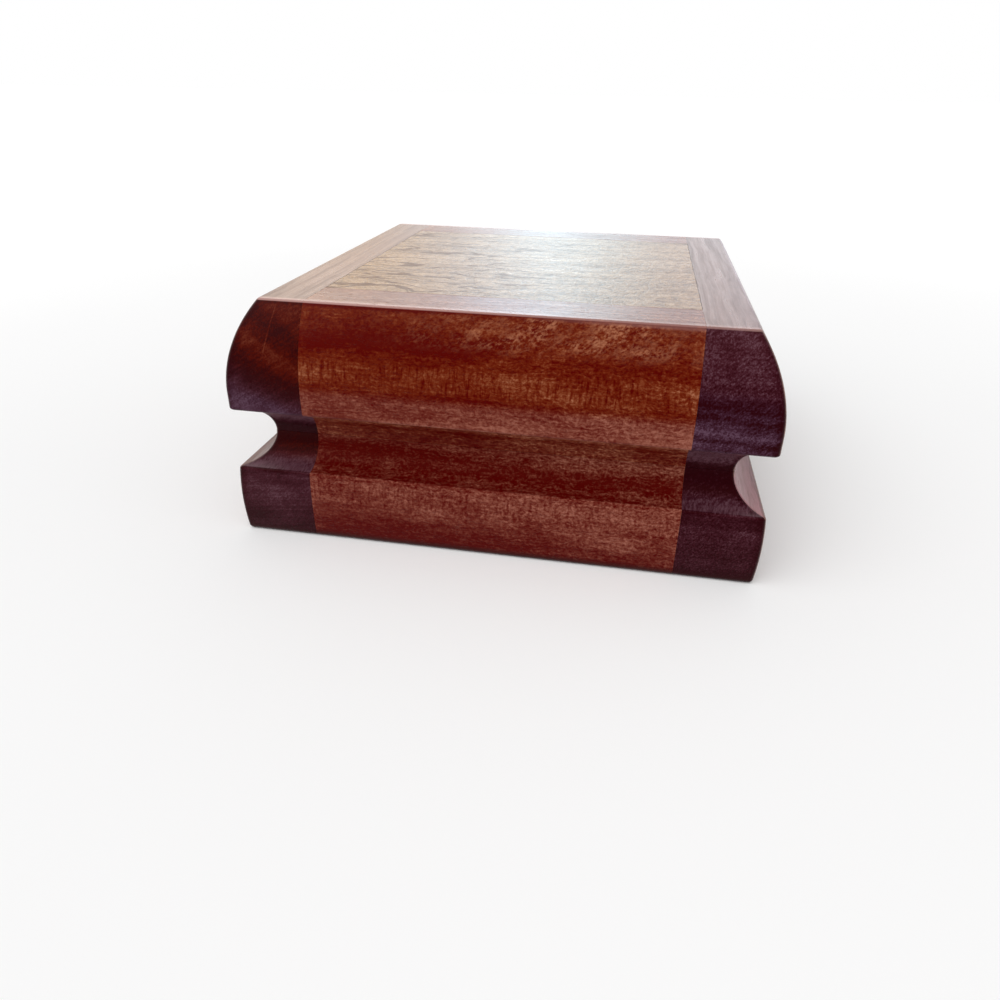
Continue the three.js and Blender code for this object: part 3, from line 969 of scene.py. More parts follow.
# Heights of the painted highlight on the top's edges, then of the painted shade line and faint painted
# highlight just under them
TOP_RIM = (0.0774, 0.0777)
UNDER_EDGE_BEGINS = (0.0764, 0.0772)
UNDER_EDGE_ENDS = (0.0775, 0.0777)
UNDERSIDE = (0.00003, 0.00006)
FOOT_SHADOW = (0.0010, 0.0034)
DARK_CROWN_BEGINS = (0.0650, 0.0670)
DARK_CROWN_ENDS = (0.0735, 0.0755)
LOW_LEFT_ENDS = (0.0085, 0.0120)
CLIMBING_BAND = (0.0255, 0.0275)
LIVELY_PLINTH = (0.0110, 0.0160)
ROSE_TURNS_BROWN = (0.0510, 0.0545)
GOLD_BEGINS = (0.0665, 0.0715)
GOLD_ENDS = (0.0766, 0.0774)
RINGS_SLOPE = (0.0460, 0.0600)
# The same, by distance: in from the box's sides, from its middle, from a band's middle, from a mitre
GROOVE_INSET = (0.0006, 0.0010)
GROOVE_FACE = (0.0100, 0.0102)
TOP_EDGE = (0.0722, 0.0736)
RAIL_SEAM = (0.0570, 0.0576)
RIPPLE_FADES = (0.0026, 0.0052)
CORNER_SHADE = (0.0002, 0.0038)
# The same, along X
LEFT_TO_RIGHT = (-0.040, 0.050)
# Stretches along X of the painted shade line and of the faint painted highlight just under the top's edge
UNDER_EDGE_SHADE = (-0.020, 0.015)
UNDER_EDGE_HIGHLIGHT = (0.000, 0.050)
# Heights of the rippled bands' middles, and how much darker their bars are
LID_RIPPLE = 0.0590
LID_RIPPLE_DEPTH = 0.40
PLINTH_RIPPLE = 0.0180
PLINTH_RIPPLE_DEPTH = 0.26
# Tone of the base rails' underside
UNDERSIDE_TONE = 0.40
# A height that no board reaches
NOWHERE = 0.0900


class EndCut(NamedTuple):
    """How an end board was cut from the plank, and how high its painted violet reflection reaches"""

    tones: tuple
    groove_tones: tuple
    fall: float
    wander: float
    red_above: float
    # Height below which a painted violet reflection of the floor shows
    reflection_below: float
    shift: float


END_CUTS = {
    ("lid", "left"): EndCut(LID_LEFT_END_TONES, LID_LEFT_GROOVE_TONES, 0.55, 0.007, 0.0545, 0.0510, 0.00),
    ("lid", "right"): EndCut(LID_RIGHT_END_TONES, LID_RIGHT_GROOVE_TONES, 0.06, 0.003, NOWHERE, 0.0610, 0.37),
    ("base", "left"): EndCut(PLINTH_LEFT_END_TONES, GROOVE_LEFT_END_TONES, 0.12, 0.003, 0.0275, 0.0, 0.61),
    ("base", "right"): EndCut(
        PLINTH_RIGHT_END_TONES, GROOVE_RIGHT_END_TONES, 0.04, 0.003, NOWHERE, 0.0, 0.83
    ),
}


def tone_by_height(finish, height, tones):
    low, high = tones[0][0], tones[-1][0]
    share = finish.step(height, low, high, shape="LINEAR")
    return finish.ramp(share, [((z - low) / (high - low), (tone, tone, tone)) for z, tone in tones])


def in_groove(finish, facing="Y"):
    """1 in the groove on the sides that face along an axis, and 0 on the plinth's and the lid's own sides."""
    inset = finish.less(HALF, finish.from_middle(facing))
    height = finish.along("Z")
    between = finish.product(finish.step(height, *GROOVE_BEGINS), finish.fade(height, *GROOVE_ENDS))
    return finish.product(finish.step(inset, *GROOVE_INSET), between)


def groove_light_lift(finish):
    """How strongly painted light lifts the long grain in the groove at the right side out of its shade, most
    near the front.
    """
    inset = finish.less(HALF, finish.from_middle("X"))
    near_front = finish.fade(finish.along("Y"), -0.070, 0.010)
    return finish.product(in_groove(finish, "X"), finish.fade(inset, *GROOVE_FACE), near_front)


def top_edge_highlight(finish):
    """How strongly a painted highlight lies on the front and back edges of the flat top, most at the left."""
    near_edge = finish.step(finish.from_middle("Y"), *TOP_EDGE)
    near_top = finish.step(finish.along("Z"), *TOP_RIM)
    most_at_left = finish.step(finish.along("X"), -0.060, 0.060, 0.95, 0.50)
    return finish.product(near_edge, near_top, most_at_left)


def under_edge(finish, stretch, low, high):
    """A value from `low` to `high` along a stretch of X just below the top's edges, and 0 away from them."""
    height = finish.along("Z")
    above = finish.step(height, *UNDER_EDGE_BEGINS)
    below = finish.fade(height, *UNDER_EDGE_ENDS)
    return finish.product(above, below, finish.step(finish.along("X"), *stretch, low, high))


def above_table(finish):
    """0 on the underside, and 1 above it."""
    return finish.step(finish.along("Z"), *UNDERSIDE)


def paint_foot_shadow(finish, shade, amount):
    """The colour, darkened by painted contact shadow along the foot of the plinth."""
    low = finish.step(finish.along("Z"), *FOOT_SHADOW, amount, 0)
    return finish.mix(finish.product(low, above_table(finish)), shade, colours().foot)


def rippled_band(finish, height, middle):
    """Fine dark upright bars, from -0.8 to 0.2, and how strongly they show along a band of a rail."""
    bars = finish.noise((0.00105, 0.006, 0.0070), 3, 0.6, shift=(3.1, 0, 0))
    shown = finish.step(finish.noise((0.014, 0.02, 0.005), 2), 0.30, 0.60, 0.4, 1.0)
    distance = finish.maths("ABSOLUTE", finish.less(height, middle))
    band = finish.fade(distance, *RIPPLE_FADES)
    return finish.step(bars, 0.34, 0.54, -0.8, 0.2), finish.product(band, shown)


def golden_figure(finish, height):
    """How golden the lid's rails are: wisps and flecks that gather high up, right of the middle."""
    leaning = finish.turned("Y", 28)
    wisps = finish.noise((0.0058, 0.006, 0.0030), 4, 0.68, leaning)
    flecks = finish.noise((0.0012, 0.002, 0.0007), 3, 0.70, leaning)
    clumps = finish.noise((0.0110, 0.02, 0.0060), 2, shift=(1.7, 0, 0))
    gathered = finish.step(clumps, 0.34, 0.62, 0.3, 1.0)
    right = finish.step(finish.along("X"), -0.036, 0.018, 0.10, 1.0)
    before_seam = finish.step(finish.along("X"), 0.038, 0.056, 1.0, 0.45)
    high = finish.step(height, *GOLD_BEGINS)
    below_edge = finish.fade(height, *GOLD_ENDS)
    shown = finish.step(finish.sum_of(0.5, (wisps, 1.7), (flecks, 1.7)), 0.40, 0.86, shape="LINEAR")
    return finish.product(shown, right, before_seam, high, below_edge, gathered)


class RailGrain(NamedTuple):
    """The patterns of a rail's wood, largest last, and the places along its wavering grain"""

    pores: bpy.types.NodeSocket
    flecks: bpy.types.NodeSocket
    dashes: bpy.types.NodeSocket
    streaks: bpy.types.NodeSocket
    patches: bpy.types.NodeSocket
    shadows: bpy.types.NodeSocket
    wavered: bpy.types.NodeSocket


def rail_grain(finish):
    wavered = finish.wavered((0.080, 0.030, 0.030), (0, 0.0012, 0.0011))
    curled = finish.wavered((0.005, 0.005, 0.005), (0, 0.0009, 0.0009), wavered)
    return RailGrain(
        pores=finish.step(finish.noise((0.0026, 0.00026, 0.00026), 2, 0.5, wavered), 0.60, 0.70),
        flecks=finish.noise((0.0010, 0.0010, 0.00078), 3, 0.68, curled, (0, 5.3, 0)),
        dashes=finish.noise((0.0030, 0.0009, 0.00056), 3, 0.62, curled),
        streaks=finish.noise((0.034, 0.0016, 0.0010), 3, 0.6, wavered),
        patches=finish.noise((0.013, 0.008, 0.0042), 3, 0.55, shift=(0, 0, 2.7)),
        shadows=finish.noise((0.045, 0.020, 0.0110), 2, 0.5, shift=(0.35, 0, 1.2)),
        wavered=wavered,
    )


def lid_rail_tone(finish, height, groove):
    """How light the lid's rails are: band by band, with a deeper crown at the left."""
    groove_tone = tone_by_height(finish, finish.along("Z"), LID_GROOVE_RAIL_TONES)
    tone = finish.blend(groove, tone_by_height(finish, height, LID_RAIL_TONES), groove_tone)
    crown = finish.product(finish.step(height, *DARK_CROWN_BEGINS), finish.fade(height, *DARK_CROWN_ENDS))
    deep_left = finish.step(finish.along("X"), -0.030, 0.015, 0.13, 0)
    # Painted shade: a dark line just under the flat top's edge, at the left
    return finish.less(tone, under_edge(finish, UNDER_EDGE_SHADE, 0.20, 0), finish.product(crown, deep_left))


def base_rail_tone(finish, height, groove):
    """How light the base's rails are: darker low at the left, with a dark band that climbs in the groove."""
    plain_height = finish.along("Z")
    across = finish.along("X")
    low = finish.fade(plain_height, *LOW_LEFT_ENDS)
    dark_left = finish.step(across, -0.030, 0.005, 0.17, 0)
    plinth = finish.less(tone_by_height(finish, height, PLINTH_RAIL_TONES), finish.product(low, dark_left))
    plinth = finish.blend(above_table(finish), UNDERSIDE_TONE, plinth)
    climbed = finish.plus(plain_height, finish.step(across, -0.036, 0.012, 0, 0.0040))
    dark_band = finish.blend(finish.step(plain_height, *CLIMBING_BAND), plain_height, climbed)
    return finish.blend(groove, plinth, tone_by_height(finish, dark_band, GROOVE_RAIL_TONES))


def rail_wood(layer):
    """Red-brown ribbon wood, its grain along X: dark stripes, short flecks and a rosier lower part."""
    finish = Finish(f"{layer}_rail_wood")
    c = colours()
    grain = rail_grain(finish)
    height = finish.blend(0.35, finish.along("Z"), finish.along("Z", grain.wavered))
    groove = in_groove(finish)
    to_right = finish.step(finish.along("X"), *LEFT_TO_RIGHT)
    if layer == "lid":
        tone = lid_rail_tone(finish, height, groove)
        bars, shown = rippled_band(finish, height, LID_RIPPLE)
        depth = LID_RIPPLE_DEPTH
        calm = 0.95
    else:
        tone = base_rail_tone(finish, height, groove)
        bars, shown = rippled_band(finish, height, PLINTH_RIPPLE)
        depth = PLINTH_RIPPLE_DEPTH
        calm = finish.step(height, *LIVELY_PLINTH, 0.95, 1.30)

    tone = finish.plus(tone, finish.product(bars, finish.product(shown, depth)))
    crosswise = finish.less(1.0, finish.product(shown, 0.70))
    dashed = finish.product(finish.less(grain.dashes, 0.5), crosswise)
    fine = finish.plus(finish.sum_of(0.0, (grain.flecks, 1.25)), dashed)
    livelier = finish.plus(1.0, finish.product(to_right, 0.30))
    lively = finish.product(finish.blend(groove, calm, 1.25), livelier)
    tone = finish.plus(tone, finish.product(fine, lively))
    tone = finish.sum_of(tone, (grain.streaks, 0.60), (grain.patches, 0.70), (grain.shadows, 0.60))
    at_seam = finish.step(finish.from_middle("X"), *RAIL_SEAM, 0, 0.08)
    tone = finish.plus(tone, finish.plus(finish.product(to_right, 0.09), at_seam))
    tone = finish.maths("SUBTRACT", tone, finish.product(grain.pores, 0.10), True)

    shades_of_rose = [(0.04, c.rail_dark), (0.42, c.rose_middle), (0.68, c.rose_light), (1.0, c.rose_pale)]
    shades_of_brown = [(0.04, c.rail_dark), (0.42, c.rail_middle), (0.68, c.rail_light), (1.0, c.rail_gold)]
    rosy = finish.ramp(tone, shades_of_rose)
    brown = finish.ramp(tone, shades_of_brown)
    if layer == "lid":
        no_rose = finish.blend(groove, finish.step(height, *ROSE_TURNS_BROWN), 0.6)
        shade = finish.mix(golden_figure(finish, height), finish.mix(no_rose, rosy, brown), c.rail_gold)
        # Painted highlight on the flat top's edges, and a faint painted highlight just under the top's edge
        # at the right
        edge_highlight = finish.maths("MAXIMUM", top_edge_highlight(finish), under_edge(finish, UNDER_EDGE_HIGHLIGHT, 0, 0.22))
        shade = finish.mix(edge_highlight, shade, c.edge_highlight)
    else:
        # Painted contact shadow along the foot
        shade = paint_foot_shadow(finish, finish.mix(finish.product(groove, 0.15), rosy, brown), 0.8)

    finish.bump(finish.less(grain.streaks, finish.product(grain.pores, 0.8)), 0.00005)
    roughness = finish.step(grain.streaks, 0.35, 0.65, 0.34, 0.26, "LINEAR")
    return finish.done(shade, roughness, specular_tint=POLISH_TINT)


def end_grain(finish):
    """1 on the moulded faces at the two ends of a board that runs along Y, and 0 on its long-grain faces."""
    along = finish.from_middle("Y")
    outline = HALF - moulding().groove_radius
    past_mitre = finish.step(finish.less(along, finish.from_middle("X")), -0.0002, 0.0002)
    past_flats = finish.step(along, outline - 0.00015, outline - 0.00012)
    return finish.product(past_mitre, past_flats, above_table(finish))


def corner_shade(finish):
    """1 along the mitred corners, where a dark band of painted shade runs down the end grain, and 0 away from
    them.
    """
    past_mitre = finish.less(finish.from_middle("Y"), finish.from_middle("X"))
    return finish.fade(past_mitre, *CORNER_SHADE)


def hairline(finish):
    """A faint light line that leans down the front of the lid's left end board."""
    top_x, top_z, slope = -0.0684, 0.0765, 0.230
    lean = finish.product(finish.less(top_z, finish.along("Z")), slope)
    off = finish.maths("ABSOLUTE", finish.plus(finish.less(finish.along("X"), top_x), lean))
    stretch = finish.product(finish.step(lean, -0.0003, 0.0002), finish.fade(lean, 0.0028, 0.0036))
    return finish.product(finish.fade(off, 0.00010, 0.00030), stretch)


def ring_level(finish, board, side, own):
    """Heights that follow the growth rings, which slope and wander across a board's end."""
    height = finish.along("Z")
    middle = SIGN[side] * (BASE_END[0].x + LID_END[1].x) / 2
    slope = finish.step(height, *RINGS_SLOPE, 0.35 * board.fall, board.fall)
    level = finish.plus(height, finish.product(finish.less(finish.along("X"), middle), slope))
    wander = finish.noise((0.014, 0.080, 0.014), 3, 0.5, shift=own)
    return finish.sum_of(level, (wander, board.wander))


def end_colours(finish, board, tone, level, groove):
    """Colours of the end grain: purple, with a painted violet reflection of the floor low down, and red high
    up where the board has that.
    """
    c = colours()
    purple = finish.ramp(tone, [(0.05, c.end_dark), (0.45, c.end_purple), (0.95, c.end_mauve)])
    violet = finish.ramp(tone, [(0.05, c.end_dark), (0.45, c.end_reflected_violet), (0.95, c.end_reflected_lilac)])
    red = finish.ramp(tone, [(0.05, c.end_deep), (0.45, c.end_red), (0.95, c.end_brown)])
    # Painted reflection of the floor's bluish light, low on the lid's ends
    violet_reflection = finish.fade(level, board.reflection_below - 0.004, board.reflection_below + 0.002)
    violet_reflection = finish.product(violet_reflection, finish.less(1.0, groove))
    reddish = finish.step(level, board.red_above - 0.003, board.red_above + 0.003)
    return finish.mix(reddish, finish.mix(violet_reflection, purple, violet), red)


def side_colours(finish, side, own):
    """Colours of the long grain, streaked along Y, and its lines."""
    c = colours()
    wavy = finish.wavered((0.02, 0.05, 0.02), (0.0012, 0, 0.0012))
    lines = finish.noise((0.0014, 0.140, 0.0014), 3, 0.6, wavy, own)
    short = finish.noise((0.0006, 0.0050, 0.0006), 2, 0.6, wavy, own)
    broad = finish.noise((0.010, 0.200, 0.010), 2, 0.5, wavy, own)
    streaked = finish.sum_of(0.55, (lines, 1.3), (short, 0.6), (broad, 1.2))
    shade = finish.ramp(streaked, [(0.0, c.side_dark), (0.8, c.side_light)])
    if side == "right":
        # Painted light: pink that lifts the long grain in the groove out of its shade
        pinkish = finish.product(groove_light_lift(finish), finish.step(streaked, 0.2, 0.8, 0.4, 1.0))
        shade = finish.mix(pinkish, shade, c.groove_pink_light)
    return shade, lines


def end_wood(layer, side):
    """Dark wood, its grain along Y: growth rings and pores on the end grain, and streaks along the sides."""
    board = END_CUTS[layer, side]
    finish = Finish(f"{layer}_{side}_end_wood")
    own = (board.shift * 7, board.shift * 3, board.shift * 5)
    level = ring_level(finish, board, side, own)
    groove = in_groove(finish)
    groove_tone = tone_by_height(finish, finish.along("Z"), board.groove_tones)
    tone = finish.blend(groove, tone_by_height(finish, level, board.tones), groove_tone)

    along_rings = finish.turned("Y", math.degrees(math.atan(board.fall)))
    rings = finish.noise((0.045, 0.200, 0.0010), 3, 0.6, along_rings, own)
    clouds = finish.noise((0.010, 0.060, 0.007), 3, 0.55, shift=own)
    flecks = finish.noise((0.0013, 0.010, 0.0006), 3, 0.7, finish.turned("Y", 38), own)
    speckle = finish.noise((0.00055, 0.006, 0.00055), 2, 0.7)
    pores = finish.step(finish.noise((0.00024, 0.0030, 0.00024), 1, 0.5), 0.62, 0.72)
    cloudy = finish.product(finish.sum_of(0.0, (clouds, 0.7)), finish.blend(groove, 1.0, 0.3))
    lively = 0.95 * (1.45 if side == "right" else 0.90)
    tone = finish.sum_of(finish.plus(tone, cloudy), (rings, 0.55), (flecks, lively), (speckle, lively))
    # Painted shade along the mitred corners
    tone = finish.less(tone, finish.product(corner_shade(finish), 0.28))
    tone = finish.maths("SUBTRACT", tone, finish.product(pores, 0.10), True)
    if (layer, side) == ("lid", "left"):
        # Painted shade: a dark line just under the flat top's edge, at the left
        tone = finish.less(tone, under_edge(finish, UNDER_EDGE_SHADE, 0.22, 0))
        tone = finish.plus(tone, finish.product(hairline(finish), 0.34))

    long_grain, lines = side_colours(finish, side, own)
    shade = finish.mix(end_grain(finish), long_grain, end_colours(finish, board, tone, level, groove))
    # Painted contact shadow along the foot
    shade = paint_foot_shadow(finish, shade, 0.35)
    if layer == "lid":
        # Painted highlight on the flat top's edges
        shade = finish.mix(top_edge_highlight(finish), shade, colours().edge_highlight)
    finish.bump(finish.less(flecks, finish.product(pores, 0.8)), 0.00003)
    roughness = finish.step(lines, 0.35, 0.65, 0.36, 0.27, "LINEAR")
    return finish.done(shade, roughness, specular_tint=POLISH_TINT)


def panel_wood():
    """Pale figured wood, its grain along X: cream and grey flames, a cross figure and a few dark veins."""
    finish = Finish("figured_panel_wood")
    c = colours()
    wavered = finish.wavered((0.050, 0.016, 0.02), (0, 0.0030, 0))
    streaks = finish.noise((0.013, 0.0017, 0.004), 4, 0.62, wavered)
    broad = finish.noise((0.050, 0.0100, 0.01), 2, 0.5, wavered)
    figure = finish.noise((0.0022, 0.0034, 0.01), 4, 0.7, finish.turned("Z", 12))
    speckle = finish.noise((0.0008, 0.0010, 0.0008), 2, 0.7)
    tone = finish.sum_of(0.50, (streaks, 0.95), (broad, 1.0), (figure, 2.0), (speckle, 1.6))

    wandering = finish.wavered((0.018, 0.018, 0.02), (0, 0.0040, 0))
    veins = finish.noise((0.042, 0.0085, 0.01), 2, 0.5, wandering, (0, 0.4, 0))
    from_vein = finish.maths("ABSOLUTE", finish.less(veins, 0.5))
    to_left = finish.step(finish.along("X"), -0.060, 0.035, 1.0, 0.2)
    veined = finish.product(finish.fade(from_vein, 0.000, 0.034), to_left)
    tone = finish.maths("SUBTRACT", tone, veined, True)
    shade = finish.ramp(tone, [(0.0, c.panel_dark), (0.5, c.panel_middle), (1.0, c.panel_light)])
    finish.bump(finish.sum_of(0.5, (streaks, 0.6), (speckle, 1.6), (figure, 1.6)), 0.00010)
    roughness = finish.step(streaks, 0.35, 0.65, 0.33, 0.26, "LINEAR")
    roughness = finish.plus(roughness, finish.product(veined, 0.12))
    return finish.done(shade, roughness, specular_ior_level=0.25, specular_tint=POLISH_TINT)


def plain_wood(name, ground, grain):
    """Plain straight-grained wood with grains of the given size."""
    finish = Finish(name)
    streaks = finish.noise(grain, 4, 0.6)
    fine = finish.noise([part / 4 for part in grain], 2, 0.6)
    tone = finish.sum_of(0.5, (streaks, 1.2), (fine, 0.6))
    dark = [0.55 * part for part in ground]
    light = [min(1.0, 1.25 * part) for part in ground]
    finish.bump(streaks, 0.00004)
    return finish.done(finish.ramp(tone, [(0.0, dark), (1.0, light)]), 0.55, specular_ior_level=0.3)


def felt_cloth():
    """Burgundy felt: matted fibres, a soft sheen and faint tufts."""
    finish = Finish("burgundy_felt")
    ground = colours().felt
    tangled = finish.wavered((0.002, 0.002, 0.002), (0.001, 0.001, 0))
    fibres = finish.noise((0.0009, 0.00018, 0.00018), 4, 0.7, tangled)
    crossing = finish.noise((0.00018, 0.0009, 0.00018), 4, 0.7)
    patches = finish.noise((0.012, 0.012, 0.012), 2)
    tufts = finish.noise((0.0007, 0.0007, 0.0007), 2, 0.6)
    tone = finish.sum_of(0.5, (fibres, 1.2), (crossing, 1.2), (tufts, 0.8), (patches, 0.5))
    dark = [0.5 * part for part in ground]
    light = [min(1.0, 1.9 * part) for part in ground]
    finish.bump(finish.sum_of(0.5, (fibres, 1.0), (crossing, 1.0), (tufts, 1.0)), 0.00025)
    finish.shader.inputs["Sheen Tint"].default_value = (0.9, 0.35, 0.4, 1)
    shade = finish.ramp(tone, [(0.0, dark), (1.0, light)])
    return finish.done(shade, 0.95, sheen_weight=0.35, sheen_roughness=0.5, specular_ior_level=0.1)


def brushed_brass():
    """Brass with fine scratches along the hinge and dulled patches."""
    finish = Finish("brushed_brass")
    ground = colours().brass
    scratches = finish.noise((0.008, 0.00012, 0.00012), 3, 0.6)
    patches = finish.noise((0.004, 0.004, 0.004), 3, 0.6)
    tone = finish.sum_of(0.5, (scratches, 0.6), (patches, 1.2))
    dull = [0.62 * part for part in ground]
    shade = finish.ramp(tone, [(0.0, dull), (0.6, ground), (1.0, [min(1.0, 1.15 * part) for part in ground])])
    finish.bump(scratches, 0.00002)
    roughness = finish.step(patches, 0.3, 0.7, 0.32, 0.48, "LINEAR")
    return finish.done(shade, roughness, metallic=1.0)


# Stage

CAMERA_PLACE = (0.03833, -0.28632, 0.13493)
CAMERA_TURN = math.radians(9.746)
CAMERA_TILT = math.radians(-29.083)
CAMERA_ROLL = math.radians(1.037)
CAMERA_LENS = 26.51
FLOOR_SIZE = 60
# The paper begins to fade to white, and is white, this far from the box
FLOOR_FADES = (0.15, 1.2)
SKY_LIGHT = 0.6
SUN_PLACE = (-0.3, -0.6, 1.0)
SUN_SPREAD = math.radians(70)
SUN_STRENGTH = 1.5
WINDOW_Y = 0.95
WINDOW_BOTTOM, WINDOW_TOP = 0.10, 0.80
WINDOW_GROWS_HIGH = (0.24, 0.36)
WINDOW_BRIGHTEST = 5.4
# The window's light low down and high up: (metres to the right, radiance)
WINDOW_LOW = (
    (-0.80, (1.70, 1.30, 0.80)),
    (-0.42, (1.28, 0.90, 0.46)),
    (-0.27, (1.44, 1.43, 1.34)),
    (-0.18, (2.20, 2.50, 2.50)),
    (-0.10, (3.20, 3.95, 4.20)),
    (-0.01, (2.08, 2.55, 2.75)),
    (0.09, (1.82, 1.94, 2.08)),
    (0.55, (2.50, 2.45, 2.85)),
)
WINDOW_HIGH = (
    (-0.80, (2.80, 2.50, 1.90)),
    (-0.45, (2.95, 2.85, 2.70)),
    (-0.30, (2.70, 2.75, 2.75)),
    (-0.18, (3.45, 4.05, 4.70)),
    (-0.10, (3.95, 4.80, 5.30)),
    (-0.02, (3.00, 3.65, 3.80)),
    (0.09, (1.78, 1.80, 1.72)),
    (0.55, (2.50, 2.20, 2.60)),
)


def add_camera():
    bpy.ops.object.camera_add()
    camera = bpy.context.object
    camera.name = "photograph_camera"
    camera.data.lens = CAMERA_LENS
    camera.data.clip_start = 0.01
    camera.matrix_world = (
        Matrix.Translation(CAMERA_PLACE)
        @ Matrix.Rotation(CAMERA_TURN, 4, "Z")
        @ Matrix.Rotation(QUARTER + CAMERA_TILT, 4, "X")
        @ Matrix.Rotation(CAMERA_ROLL, 4, "Z")
    )
    bpy.context.scene.camera = camera


def seen_directly(tree):
    """1 for what the camera sees, also in a mirror or through glass, and 0 for what lights the object."""
    path = tree.nodes.new("ShaderNodeLightPath")
    seen = path.outputs["Is Camera Ray"]
    for output in ("Is Glossy Ray", "Is Transmission Ray"):
        either = tree.nodes.new("ShaderNodeMath")
        either.operation = "MAXIMUM"
        tree.links.new(seen, either.inputs[0])
        tree.links.new(path.outputs[output], either.inputs[1])
        seen = either.outputs[0]
    return seen


def add_floor():
    """Pale paper that fades to white further off."""
    bpy.ops.object.select_all(action="DESELECT")
    bpy.ops.mesh.primitive_plane_add(size=FLOOR_SIZE, location=(0, 0, 0))
    floor = bpy.context.object
    floor.name = floor.data.name = "studio_floor"
    finish = Finish("pale_paper")
    clouds = finish.noise((0.5, 0.5, 0.5))
    shade = finish.ramp(clouds, [(0.3, (0.94, 0.94, 0.94)), (0.7, (0.97, 0.97, 0.97))])
    away = finish.add("VectorMath", {0: finish.place}, operation="LENGTH").outputs["Value"]
    glow = finish.product(finish.step(away, *FLOOR_FADES, 0, 0.2), seen_directly(finish.tree))
    finish.tree.links.new(glow, finish.shader.inputs["Emission Strength"])
    floor.data.materials.append(finish.done(shade, 0.9, specular_ior_level=0.0))


def aim(light, place, target):
    direction = Vector(target) - Vector(place)
    light.matrix_world = Matrix.Translation(place) @ direction.to_track_quat("-Z", "Y").to_matrix().to_4x4()


def add_sun(place, spread, strength):
    """Soft, even light from above and in front."""
    bpy.ops.object.light_add(type="SUN")
    light = bpy.context.object
    light.name = "soft_overhead_light"
    light.data.angle = spread
    light.data.energy = strength
    aim(light, place, (0, 0, 0))


def window_light(finish, row):
    left, right = row[0][0], row[-1][0]
    share = finish.step(finish.along("X"), left, right, shape="LINEAR")
    stops = [((x - left) / (right - left), [part / WINDOW_BRIGHTEST for part in light]) for x, light in row]
    return finish.ramp(share, stops, "EASE")


def add_window():
    """A window behind the box, warm at its left and brightest behind the middle, seen only in the polish."""
    left, right = WINDOW_LOW[0][0], WINDOW_LOW[-1][0]
    bpy.ops.object.select_all(action="DESELECT")
    bpy.ops.mesh.primitive_plane_add(
        size=1,
        location=((left + right) / 2, WINDOW_Y, (WINDOW_BOTTOM + WINDOW_TOP) / 2),
        rotation=(QUARTER, 0, 0),
        scale=(right - left, WINDOW_TOP - WINDOW_BOTTOM, 1),
    )
    window = bpy.context.object
    window.name = window.data.name = "studio_window"
    apply_place(window)
    finish = Finish("window_light")
    higher = finish.step(finish.along("Z"), *WINDOW_GROWS_HIGH)
    light = finish.mix(higher, window_light(finish, WINDOW_LOW), window_light(finish, WINDOW_HIGH))
    glow = finish.add("Emission", {"Color": light, "Strength": WINDOW_BRIGHTEST})
    output = finish.tree.nodes["Material Output"]
    finish.tree.links.new(glow.outputs[0], output.inputs["Surface"])
    window.data.materials.append(finish.material)
    window.visible_camera = window.visible_diffuse = False
    window.visible_transmission = window.visible_shadow = False


def add_sky(ambient):
    """White all round for the camera and for reflections, and a softer white that lights the object."""
    world = bpy.data.worlds.new("white_studio")
    world.use_nodes = True
    bpy.context.scene.world = world
    tree = world.node_tree
    background = tree.nodes["Background"]
    background.inputs["Color"].default_value = (1, 1, 1, 1)
    strength = tree.nodes.new("ShaderNodeMapRange")
    strength.inputs["To Min"].default_value = ambient
    tree.links.new(seen_directly(tree), strength.inputs["Value"])
    tree.links.new(strength.outputs[0], background.inputs["Strength"])


def make_stage():
    bpy.context.scene.view_settings.view_transform = "Standard"
    add_camera()
    add_floor()
    add_sky(SKY_LIGHT)
    add_sun(SUN_PLACE, SUN_SPREAD, SUN_STRENGTH)
    add_window()


# Operators


class TRINKET_OT_stage(bpy.types.Operator):
    """Add the camera, the pale floor and the soft light"""

    bl_idname = "trinket.stage"
    bl_label = "Stage"

    def execute(self, context):
        make_stage()
        return {"FINISHED"}


class TRINKET_OT_base_boards(bpy.types.Operator):
    """Model the two end boards and the two rails of the base"""

    bl_idname = "trinket.base_boards"
    bl_label = "Base boards"

    def execute(self, context):
        make_base_boards()
        return {"FINISHED"}


class TRINKET_OT_lid_boards(bpy.types.Operator):
    """Model the two end boards and the two rails of the lid"""

    bl_idname = "trinket.lid_boards"
    bl_label = "Lid boards"

    def execute(self, context):
        make_lid_boards()
        return {"FINISHED"}


class TRINKET_OT_top_panel(bpy.types.Operator):
    """Model the figured panel in the lid"""

    bl_idname = "trinket.top_panel"
    bl_label = "Top panel"

    def execute(self, context):
        make_top_panel()
        return {"FINISHED"}


class TRINKET_OT_bottom_panel(bpy.types.Operator):
    """Model the panel that closes the base"""

    bl_idname = "trinket.bottom_panel"
    bl_label = "Bottom panel"

    def execute(self, context):
        make_bottom_panel()
        return {"FINISHED"}


class TRINKET_OT_felt(bpy.types.Operator):
    """Model the felt pad on the floor of the box"""

    bl_idname = "trinket.felt"
    bl_label = "Felt pad"

    def execute(self, context):
        make_felt()
        return {"FINISHED"}


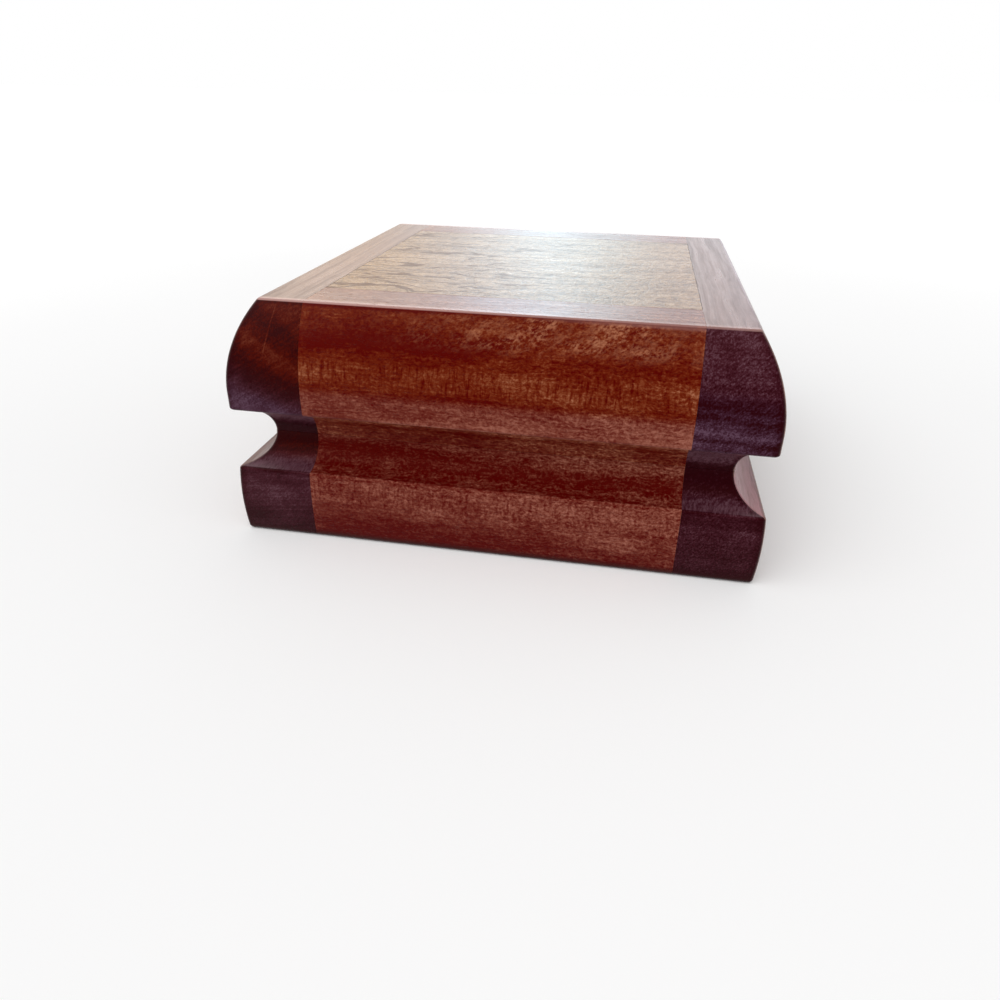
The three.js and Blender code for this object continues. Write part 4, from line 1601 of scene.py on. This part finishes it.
class TRINKET_OT_hinges(bpy.types.Operator):
    """Model the pair of butt hinges with their pins and screws"""

    bl_idname = "trinket.hinges"
    bl_label = "Hinges"

    def execute(self, context):
        brass = brushed_brass()
        make_hinges(brass)
        make_screws(brass)
        return {"FINISHED"}


class TRINKET_OT_dowels(bpy.types.Operator):
    """Give the corner dowels their bare wood"""

    bl_idname = "trinket.dowels"
    bl_label = "Dowels"

    def execute(self, context):
        wood = plain_wood("dowel_wood", colours().dowel_wood, (0.020, 0.0008, 0.0008))
        for name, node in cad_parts.items():
            if "_dowel_" in name:
                node.data.materials.clear()
                node.data.materials.append(wood)
        return {"FINISHED"}


class TRINKET_PT_box(bpy.types.Panel):
    """The box's sizes, colours and pieces"""

    bl_idname = "TRINKET_PT_box"
    bl_label = "Trinket Box"
    bl_space_type = "VIEW_3D"
    bl_region_type = "UI"
    bl_category = "Trinket Box"

    def draw(self, context):
        for operator in OPERATORS:
            self.layout.operator(operator.bl_idname)
        for group in (moulding(), fittings(), colours()):
            box = self.layout.box()
            for name in group.__annotations__:
                box.prop(group, name)


GROUPS = {
    "trinket_moulding": MouldingSizes,
    "trinket_fittings": FittingSizes,
    "trinket_colours": FinishColours,
}
OPERATORS = (
    TRINKET_OT_stage,
    TRINKET_OT_base_boards,
    TRINKET_OT_lid_boards,
    TRINKET_OT_top_panel,
    TRINKET_OT_bottom_panel,
    TRINKET_OT_felt,
    TRINKET_OT_hinges,
    TRINKET_OT_dowels,
)


def register():
    for cls in (*GROUPS.values(), *OPERATORS, TRINKET_PT_box):
        bpy.utils.register_class(cls)
    for name, group in GROUPS.items():
        setattr(bpy.types.Scene, name, PointerProperty(type=group))


def unregister():
    for name in GROUPS:
        delattr(bpy.types.Scene, name)
    for cls in (TRINKET_PT_box, *reversed(OPERATORS), *GROUPS.values()):
        bpy.utils.unregister_class(cls)


def main():
    register()
    bpy.ops.trinket.stage()
    bpy.ops.trinket.base_boards()
    bpy.ops.trinket.lid_boards()
    bpy.ops.trinket.top_panel()
    bpy.ops.trinket.bottom_panel()
    bpy.ops.trinket.felt()
    bpy.ops.trinket.hinges()
    bpy.ops.trinket.dowels()


if __name__ == "__main__":
    main()
